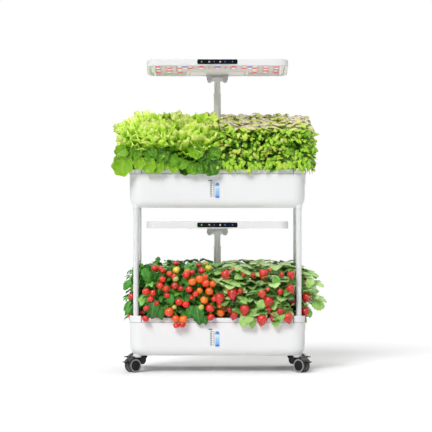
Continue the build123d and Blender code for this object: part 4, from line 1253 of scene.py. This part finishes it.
# Round lettuce leaves laid over the rim: each its pixel across and down, its radius, its turn and its tint
lettuce_rim_leaves = (
    (123.2, 164.2, 9.8, -12, 0.55), (138.7, 161.7, 6.3, -4, 0.62), (149.5, 164.6, 7, 6, 0.55),
    (158, 166, 6, -10, 0.6), (163.8, 163, 6, 12, 0.56), (173.9, 167.9, 4.2, 0, 0.6),
    (192.5, 166.4, 6.6, -12, 0.34), (201.5, 167, 5.6, 8, 0.2), (210.5, 164.2, 9.4, 14, 0.06),
    (122.5, 151, 6.5, -60, 0.5), (136, 151, 6, -20, 0.3), (183, 163, 5.5, -26, 0.34),
    (195.4, 150.5, 7, 30, 0.5), (173, 159, 6, 14, 0.25), (150, 153, 6.5, 40, 0.24),
    (213, 153, 6.5, 70, 0.2), (163, 155, 6, -30, 0.16), (205, 158, 6, -10, 0.1))
frilled_length, rib_radius = 0.15, 0.0014
bare_below, shaded_below, low_below, sunlit_above = 0.735, 0.765, 0.77, 0.78


def grow_lettuce():
    """Six heads of frilled leaves, with smooth round ones laid over the rim."""
    crop = bed("lettuce", "upper", -1, 0.345, 0.174, 0.846, 0.914, 7.0)
    rows, columns = 10, 16
    frilled = [leaf_sheet("frilled_blade", columns + 1, rows + 1,
                          crumpled(frilled_length, 36 + 4 * i, 0.1 + 0.05 * i, 0.008, rows, columns),
                          lettuce_leaf)
               for i in range(4)]
    plain = leaf_sheet("plain_blade", 8, 18, lobed(0.0215, 7, 0.35), round_lettuce_leaf)
    made, inner = [], []
    spots = [(sighted(*peak), up) for peak in lettuce_peaks]
    spots += places(crop, 215, 0.9, 1.0, 0.0235) + places(crop, 60, 0.5, 0.85, 0.035)
    for index, (place, out) in enumerate(spots):
        depth = outness(crop, place)[0]
        if place.z < bare_below and out.z < 0.5 and depth > 0.87:
            continue
        deep = index >= len(lettuce_peaks) and depth < 0.86
        pod = min(crop["pods"], key=lambda p: (p - place).xy.length + chance.uniform(0, 0.03))
        way = place - pod
        flat = Vector((way.x, way.y, 0)).normalized()
        face = up * flat.dot(way.normalized()) - flat * way.normalized().z
        # Painted light and shade: leaves high up get paler tints, as sunlit, and those deep in a head or low
        # down darker ones, as shade.
        tint = chance.gauss(0.48 if place.z > sunlit_above else 0.36, 0.1)
        if deep or place.z < shaded_below:
            tint -= 0.2
        width = chance.uniform(0.45, 0.65)
        spread = Matrix.Diagonal((width, way.length / frilled_length, width, 1))
        blades = inner if deep else made
        blades.append(copied(chance.choice(frilled), facing(pod, way, face + jitter(0.2)) @ spread, tint))
    planted("leaves", made, crop)
    planted("heart_leaves", inner, crop)
    laid = hung(crop, plain, lettuce_rim_leaves)
    low_spots = [spot for spot in places(crop, 260, 0.35, 0.93, 0.024) if spot[0].z < low_below]
    low_spots += skirt(crop, 30)
    low, low_starts = grown(crop, plain, low_spots, (0.8, 1.2), tinted(0.08, 0.08), outward(0.2, 0.6))
    planted("rim_leaves", low + [piece for _, piece in laid], crop)
    stalked(crop, "ribs", rib_radius, *stems(crop, 5), low_starts + [start for start, _ in laid])
    templates.extend([*frilled, plain])


def calyx(points, radius, curl):
    """A green star on a fruit's top, its points bent down or up."""
    clear()
    bpy.ops.mesh.primitive_circle_add(vertices=points * 2, radius=radius, fill_type="TRIFAN")
    star = bpy.context.object
    for point in star.data.vertices:
        far = point.co.length
        if far > radius / 2 and point.index % 2:
            point.co *= 0.3
            far = point.co.length
        point.co.z += curl * far * far / radius
    modified(star, "SOLIDIFY", thickness=0.0006, offset=0)
    return finished(star, green_stem)


def fruit(name, form, skin, star):
    """A fruit of unit radius with its calyx and a stump of its stalk, hanging from the origin."""
    clear()
    bpy.ops.mesh.primitive_uv_sphere_add(segments=16, ring_count=11, radius=1)
    body = bpy.context.object
    body.name = name
    for point in body.data.vertices:
        point.co = form(point.co)
    bpy.ops.object.shade_smooth()
    finished(body, skin)
    stump = tubes(name + "_stalk", [[Vector((0, 0, -0.1)), Vector((0, 0, 0.25)), Vector((0.12, 0, 0.5))]],
                  0.09, green_stem)
    return joined(name, [body, star, stump])


def round_form(co):
    """A tomato: a slightly flattened ball with a dimple round its stalk."""
    dimple = 0.16 * math.exp(-7 * (co.x ** 2 + co.y ** 2)) if co.z > 0 else 0.0
    return Vector((co.x, co.y, 0.92 * co.z - 0.92 - dimple + 0.14))


def heart_form(co):
    """A strawberry: broad below its calyx, and drawn to a blunt point."""
    share = (1 - co.z) / 2
    width = 0.98 * math.sin(math.pi * min(1.0, share) ** 0.62) ** 0.72 if 0 < share < 1 else 0.0
    flat = math.hypot(co.x, co.y)
    out = width / flat if flat > 1e-6 else 0.0
    return Vector((co.x * out, co.y * out, 0.05 - 2.35 * share))


fruit_reach = 0.19


def hang(template, place, axis, size, ripe):
    """One fruit, hung with its middle at a place, and where its stalk ends."""
    axis = axis.normalized()
    top = place + axis * size
    return copied(template, facing(top, axis.orthogonal(), axis, size), ripe), top + axis * size * 0.4


def picked(crop, template, spots, proud, larger):
    """Hangs fruit at the given pixels, none further forward than a leaf may reach."""
    made, tops, covered = [], [], []
    for pixel_x, pixel_y, radius, ripe in spots:
        size = larger * radius / pixels_per_metre
        place = front_of(crop, pixel_x, pixel_y, proud)
        place.y = max(place.y, 1.12 * size - fruit_reach)
        axis = up + Vector((chance.uniform(-0.5, 0.5), chance.uniform(-0.5, 0.25), 0))
        ball, top = hang(template, place, axis, size, ripe)
        made.append(ball)
        tops.append(top)
        covered.append((pixel_x, pixel_y, radius * larger, place.y))
    return made, tops, covered


def fruited(crop, template, count, radius, taken, gap, ripeness):
    """Hangs fruit at random over the rest of a bed's skin, clear of the posts and of the fruit in front."""
    made, tops = [], []
    for place, out in places(crop, count, 0.86, 0.97, gap):
        size = radius * chance.uniform(0.8, 1.1)
        if abs(out.x) > 0.6:
            place = place - out * size * 1.1
        by_post = by_upright(place, crop["tier"], size + 0.004)
        crowded = any((place - other).length < gap for other in taken)
        in_front = out.y < -0.6 and place.x * out.x < 0.2 and place.z > crop["rim"].z + 0.02
        if by_post or crowded or in_front or out.z > 0.5:
            continue
        ball, top = hang(template, place, up + jitter(0.45), size, chance.choice(ripeness))
        made.append(ball)
        tops.append(top)
    return made, tops


# Fruit seen in front: its pixel across and down, its radius in pixels and its ripeness
tomato_spots = (
    (131.8, 297.3, 3.6, 0.85), (146.2, 292.1, 3.6, 0.78), (152.8, 293.5, 3.2, 0.8),
    (150.7, 299.7, 3.2, 0.76), (146.6, 308.7, 3.0, 0.8), (139.3, 318.0, 3.7, 0.92),
    (145.2, 319.3, 3.5, 0.85), (142.8, 312.8, 3.0, 0.85), (166.2, 289.4, 3.4, 0.75),
    (167.2, 295.9, 3.0, 0.8), (154.8, 268.6, 3.5, 0.76), (160.7, 269.0, 2.8, 0.75),
    (163.1, 271.3, 3.0, 0.76), (162.4, 280.0, 3.4, 0.75), (160.0, 286.2, 3.4, 0.75),
    (169.7, 274.1, 2.9, 0.7), (175.9, 264.1, 3.0, 0.75), (176.6, 270.7, 3.6, 0.25),
    (187.6, 272.4, 3.2, 0.5), (186.3, 275.8, 3.8, 0.78), (192.4, 273.0, 2.6, 0.75),
    (199.0, 265.8, 2.7, 0.85), (205.2, 264.5, 3.2, 0.14), (208.6, 268.9, 3.6, 0.25),
    (201.7, 271.7, 3.5, 0.8), (199.7, 280.0, 4.2, 0.6), (204.8, 277.5, 3.0, 0.68),
    (192.4, 282.7, 4.0, 0.55), (206.2, 284.0, 4.0, 0.7), (212.8, 284.4, 3.6, 0.62),
    (174.9, 286.5, 3.7, 0.88), (180.7, 288.9, 2.7, 0.85), (174.2, 277.5, 3.2, 0.85),
    (175.9, 279.6, 3.0, 0.04), (189.3, 290.0, 3.3, 0.75), (195.9, 294.5, 3.1, 0.72),
    (199.5, 291.0, 3.0, 0.5), (209.0, 292.1, 4.0, 0.58), (179.0, 302.8, 3.8, 0.77),
    (185.7, 305.2, 3.7, 0.76), (204.0, 300.7, 4.0, 0.5), (209.7, 309.0, 4.4, 0.8),
    (210.9, 317.8, 3.8, 0.84), (169.4, 312.8, 4.7, 0.66), (183.5, 320.0, 4.3, 0.52),
    (175.6, 319.3, 3.8, 0.62), (176.3, 326.2, 3.0, 0.76), (182.8, 325.2, 3.4, 0.85),
    (191.5, 298.0, 2.6, 0.82), (201.5, 307.5, 3.0, 0.08), (174.5, 307.5, 2.4, 0.1),
    (219.6, 306.0, 2.9, 0.55), (220.6, 313.6, 4.0, 0.58), (157.0, 304.0, 2.8, 0.9),
    (214.0, 299.5, 3.0, 0.78))

strawberry_spots = (
    (219.5, 298.5, 4.9, 0.74), (232.5, 294.0, 4.9, 0.82), (244.7, 309.6, 4.8, 0.82),
    (233.8, 315.9, 3.6, 0.8), (262.1, 320.0, 5.2, 0.74), (268.4, 301.8, 4.7, 0.8), (262.0, 293.3, 4.3, 0.7),
    (229.5, 310.0, 2.4, 0.95), (269.1, 310.0, 2.6, 0.95), (287.9, 317.7, 5.0, 0.76),
    (306.8, 297.4, 4.5, 0.84), (305.3, 311.8, 4.3, 0.85), (291.5, 301.0, 4.4, 0.95),
    (280.5, 311.8, 3.8, 0.92), (225.8, 275.0, 4.6, 0.72), (263.5, 274.3, 4.6, 0.72),
    (291.0, 275.0, 3.8, 0.78), (253.0, 275.4, 2.6, 0.8), (243.5, 274.6, 2.2, 0.75),
    (281.6, 274.6, 2.2, 0.75), (240.1, 291.2, 2.9, 0.78), (280.1, 291.6, 3.0, 0.78),
    (290.7, 289.0, 4.0, 0.78), (232.2, 269.7, 2.0, 0.45), (270.0, 269.7, 2.0, 0.45),
    (228.0, 289.0, 2.0, 0.45), (267.7, 289.0, 2.0, 0.45))


# Tomato leaves laid over the rim: each its pixel across and down, its radius, its turn and its tint
tomato_rim_leaves = (
    (153, 309, 10, -12, 0.12), (160, 313, 7, 14, 0.16), (198, 315, 10, 4, 0.14), (190, 312, 7, -20, 0.2),
    (128, 308, 7, -30, 0.4), (133, 311, 6, 4, 0.3), (147, 275, 8, 36, 0.32), (205, 320, 5, 16, 0.1),
    (127, 285, 6, -40, 0.35), (188, 268, 5, 60, 0.5), (171, 300, 6, 10, 0.3))

# Tomato leaves on the bed's top: each its pixel across and down, its size, its turn and its tint
tomato_top_leaves = (
    (150, 264, 0.7, 160, 0.6), (159, 262.5, 0.75, 200, 0.7), (168, 260, 0.7, 150, 0.65),
    (178, 260.5, 0.75, 190, 0.6), (187, 259.5, 0.7, 170, 0.7), (195, 259, 0.8, 195, 0.75),
    (203, 258.5, 0.75, 165, 0.72), (210, 260.5, 0.7, 185, 0.7), (143, 267, 0.7, 170, 0.6),
    (207, 262, 0.8, 30, 0.7), (196, 262, 0.8, -20, 0.65), (164, 265, 0.7, 10, 0.6))

# Strawberry leaves, laid in the same two ways
strawberry_rim_leaves = (
    (244, 321, 6.4, -14, 0.62), (252, 323, 5.6, 8, 0.55), (276, 280, 5.5, 24, 0.32), (275, 316, 5, 34, 0.3),
    (318, 305.5, 7, 84, 0.5), (310, 283, 6, 150, 0.7), (309, 313, 5, 24, 0.4), (262, 304, 6, -60, 0.5))
strawberry_top_leaves = (
    (236, 266, 1.15, 4, 0.72), (277, 265, 1.2, -5, 0.75), (232, 284, 1.15, -6, 0.7),
    (273, 282.5, 1.2, 5, 0.74), (247, 298, 0.9, 10, 0.5), (283, 297, 0.95, -8, 0.55),
    (255, 262, 0.8, 40, 0.6), (312, 284, 0.8, 60, 0.7), (223, 272, 0.7, -40, 0.6),
    (294, 268, 0.8, 20, 0.6), (316, 300, 0.75, 75, 0.6), (246, 261, 0.75, 175, 0.7),
    (287, 263, 0.9, 150, 0.66), (219, 266, 0.7, 190, 0.75), (228, 263, 0.9, 20, 0.7),
    (266, 263, 0.9, -30, 0.68), (306, 274, 0.8, 80, 0.6))

tomato_ripeness = (0.75, 0.78, 0.85, 0.6, 0.5, 0.72, 0.8, 0.1)
strawberry_ripeness = (0.72, 0.8, 0.85, 0.78, 0.9)
fruit_proud = 0.007
fruit_stem_radius = 0.0013


def grow_fruiting(crop, leaf, rim_leaf, ball, shown, over_rim, on_top, leaves, inner_count, rest, larger):
    """A bed of compound leaves with fruit, stalks and leaves that hang over the rim."""
    count, gap, sizes, tint, way, bare = leaves
    rest_count, radius, ripeness = rest
    routes, marks = stems(crop, 7)
    near, near_tops, covered = picked(crop, ball, shown, fruit_proud, larger)
    skin = places(crop, count, 0.84, 1.0, gap)
    heart = places(crop, inner_count, 0.35, 0.86, gap) + skirt(crop, 40)
    made, starts = grown(crop, leaf, skin, sizes, tint, way, 0.8, covered, bare)
    inner, inner_starts = grown(crop, leaf, heart, (0.9, 1.2), tinted(0.2, 0.1), outward(0.5, 0.5), 0.6,
                                covered)
    laid = hung(crop, rim_leaf, over_rim) + tiered(crop, leaf, on_top)
    planted("leaves", made + [piece for _, piece in laid], crop)
    planted("heart_leaves", inner, crop)
    others, other_tops = fruited(crop, ball, rest_count, radius, near_tops, radius * 2.3, ripeness)
    planted("fruit", near + others, crop, moved=False)
    bases = starts + inner_starts + [start for start, _ in laid] + near_tops + other_tops
    stalked(crop, "stems", fruit_stem_radius, routes, marks, bases)


def grow_tomatoes():
    """Tomato bushes, their clusters of fruit before a dark wall of toothed leaves."""
    crop = bed("tomato", "lower", -1, 0.322, 0.17, 0.345, 0.39, 6.5)
    leaflet = leaf_sheet("tomato_leaflet", 4, 6,
                         blade(0.04, 0.0145, 0.85, 0.75, 0.08, 0.24, 0.25, 6, 0.2, 0.0015, 3), tomato_leaf)
    wide = leaf_sheet("tomato_wide", 6, 12, blade(0.075, 0.026, 0.8, 0.7, 0.1, 0.22, 0.2, 12, 0.14, 0.003, 4),
                      tomato_leaf)
    side = math.radians(68)
    leaf = compound("tomato_compound", leaflet, [
        turned((0, 0.048, 0)), turned((0, 0.04, 0), side, 0.8, -0.2), turned((0, 0.04, 0), -side, 0.8, -0.2),
        turned((0, 0.018, 0), side, 0.62, -0.3), turned((0, 0.018, 0), -side, 0.62, -0.3)],
        [Vector((0, 0, 0)), Vector((0, 0.026, 0.004)), Vector((0, 0.052, 0))])
    ball = fruit("tomato", round_form, tomato_skin, calyx(5, 0.62, -0.5))
    # Tomato leaves above 0.34 m get paler tints: painted light on the sunlit tops.
    grow_fruiting(crop, leaf, wide, ball, tomato_spots, tomato_rim_leaves, tomato_top_leaves,
                  (300, 0.014, (0.55, 0.85), tinted(0.46, 0.18, 0.34, 0.15), outward(0.5, 0.45), 0.95),
                  150, (90, 0.0115, tomato_ripeness), 1.05)
    templates.extend((leaflet, wide, leaf, ball))


def grow_strawberries():
    """Strawberry plants, their three-part leaves in level tiers with the fruit hung below."""
    crop = bed("strawberry", "lower", 1, 0.322, 0.17, 0.35, 0.388, 6.5)
    leaflet = leaf_sheet("strawberry_leaflet", 4, 10,
                         blade(0.046, 0.0175, 1.15, 0.6, 0.06, 0.14, 0.3, 10, 0.11), strawberry_leaf)
    side = math.radians(74)
    leaf = compound("strawberry_compound", leaflet, [
        turned((0, 0.014, 0)), turned((0.002, 0.012, 0), -side, 0.92, 0.12),
        turned((-0.002, 0.012, 0), side, 0.92, 0.12)],
        [Vector((0, 0, 0)), Vector((0, 0.008, 0.001)), Vector((0, 0.016, 0))])
    heart = fruit("strawberry", heart_form, strawberry_skin, calyx(8, 0.95, 0.35))
    # Strawberry leaves above 0.335 m get paler tints: painted light on the sunlit tops.
    grow_fruiting(crop, leaf, leaflet, heart, strawberry_spots, strawberry_rim_leaves,
                  strawberry_top_leaves,
                  (260, 0.016, (0.7, 1.05), tinted(0.6, 0.18, 0.335, 0.2), layered(0.75, 0.3), 0.55),
                  150, (60, 0.015, strawberry_ripeness), 1.08)
    templates.extend((leaflet, leaf, heart))


grow_basil()
grow_lettuce()
grow_tomatoes()
grow_strawberries()
for template in templates:
    bpy.data.objects.remove(template)
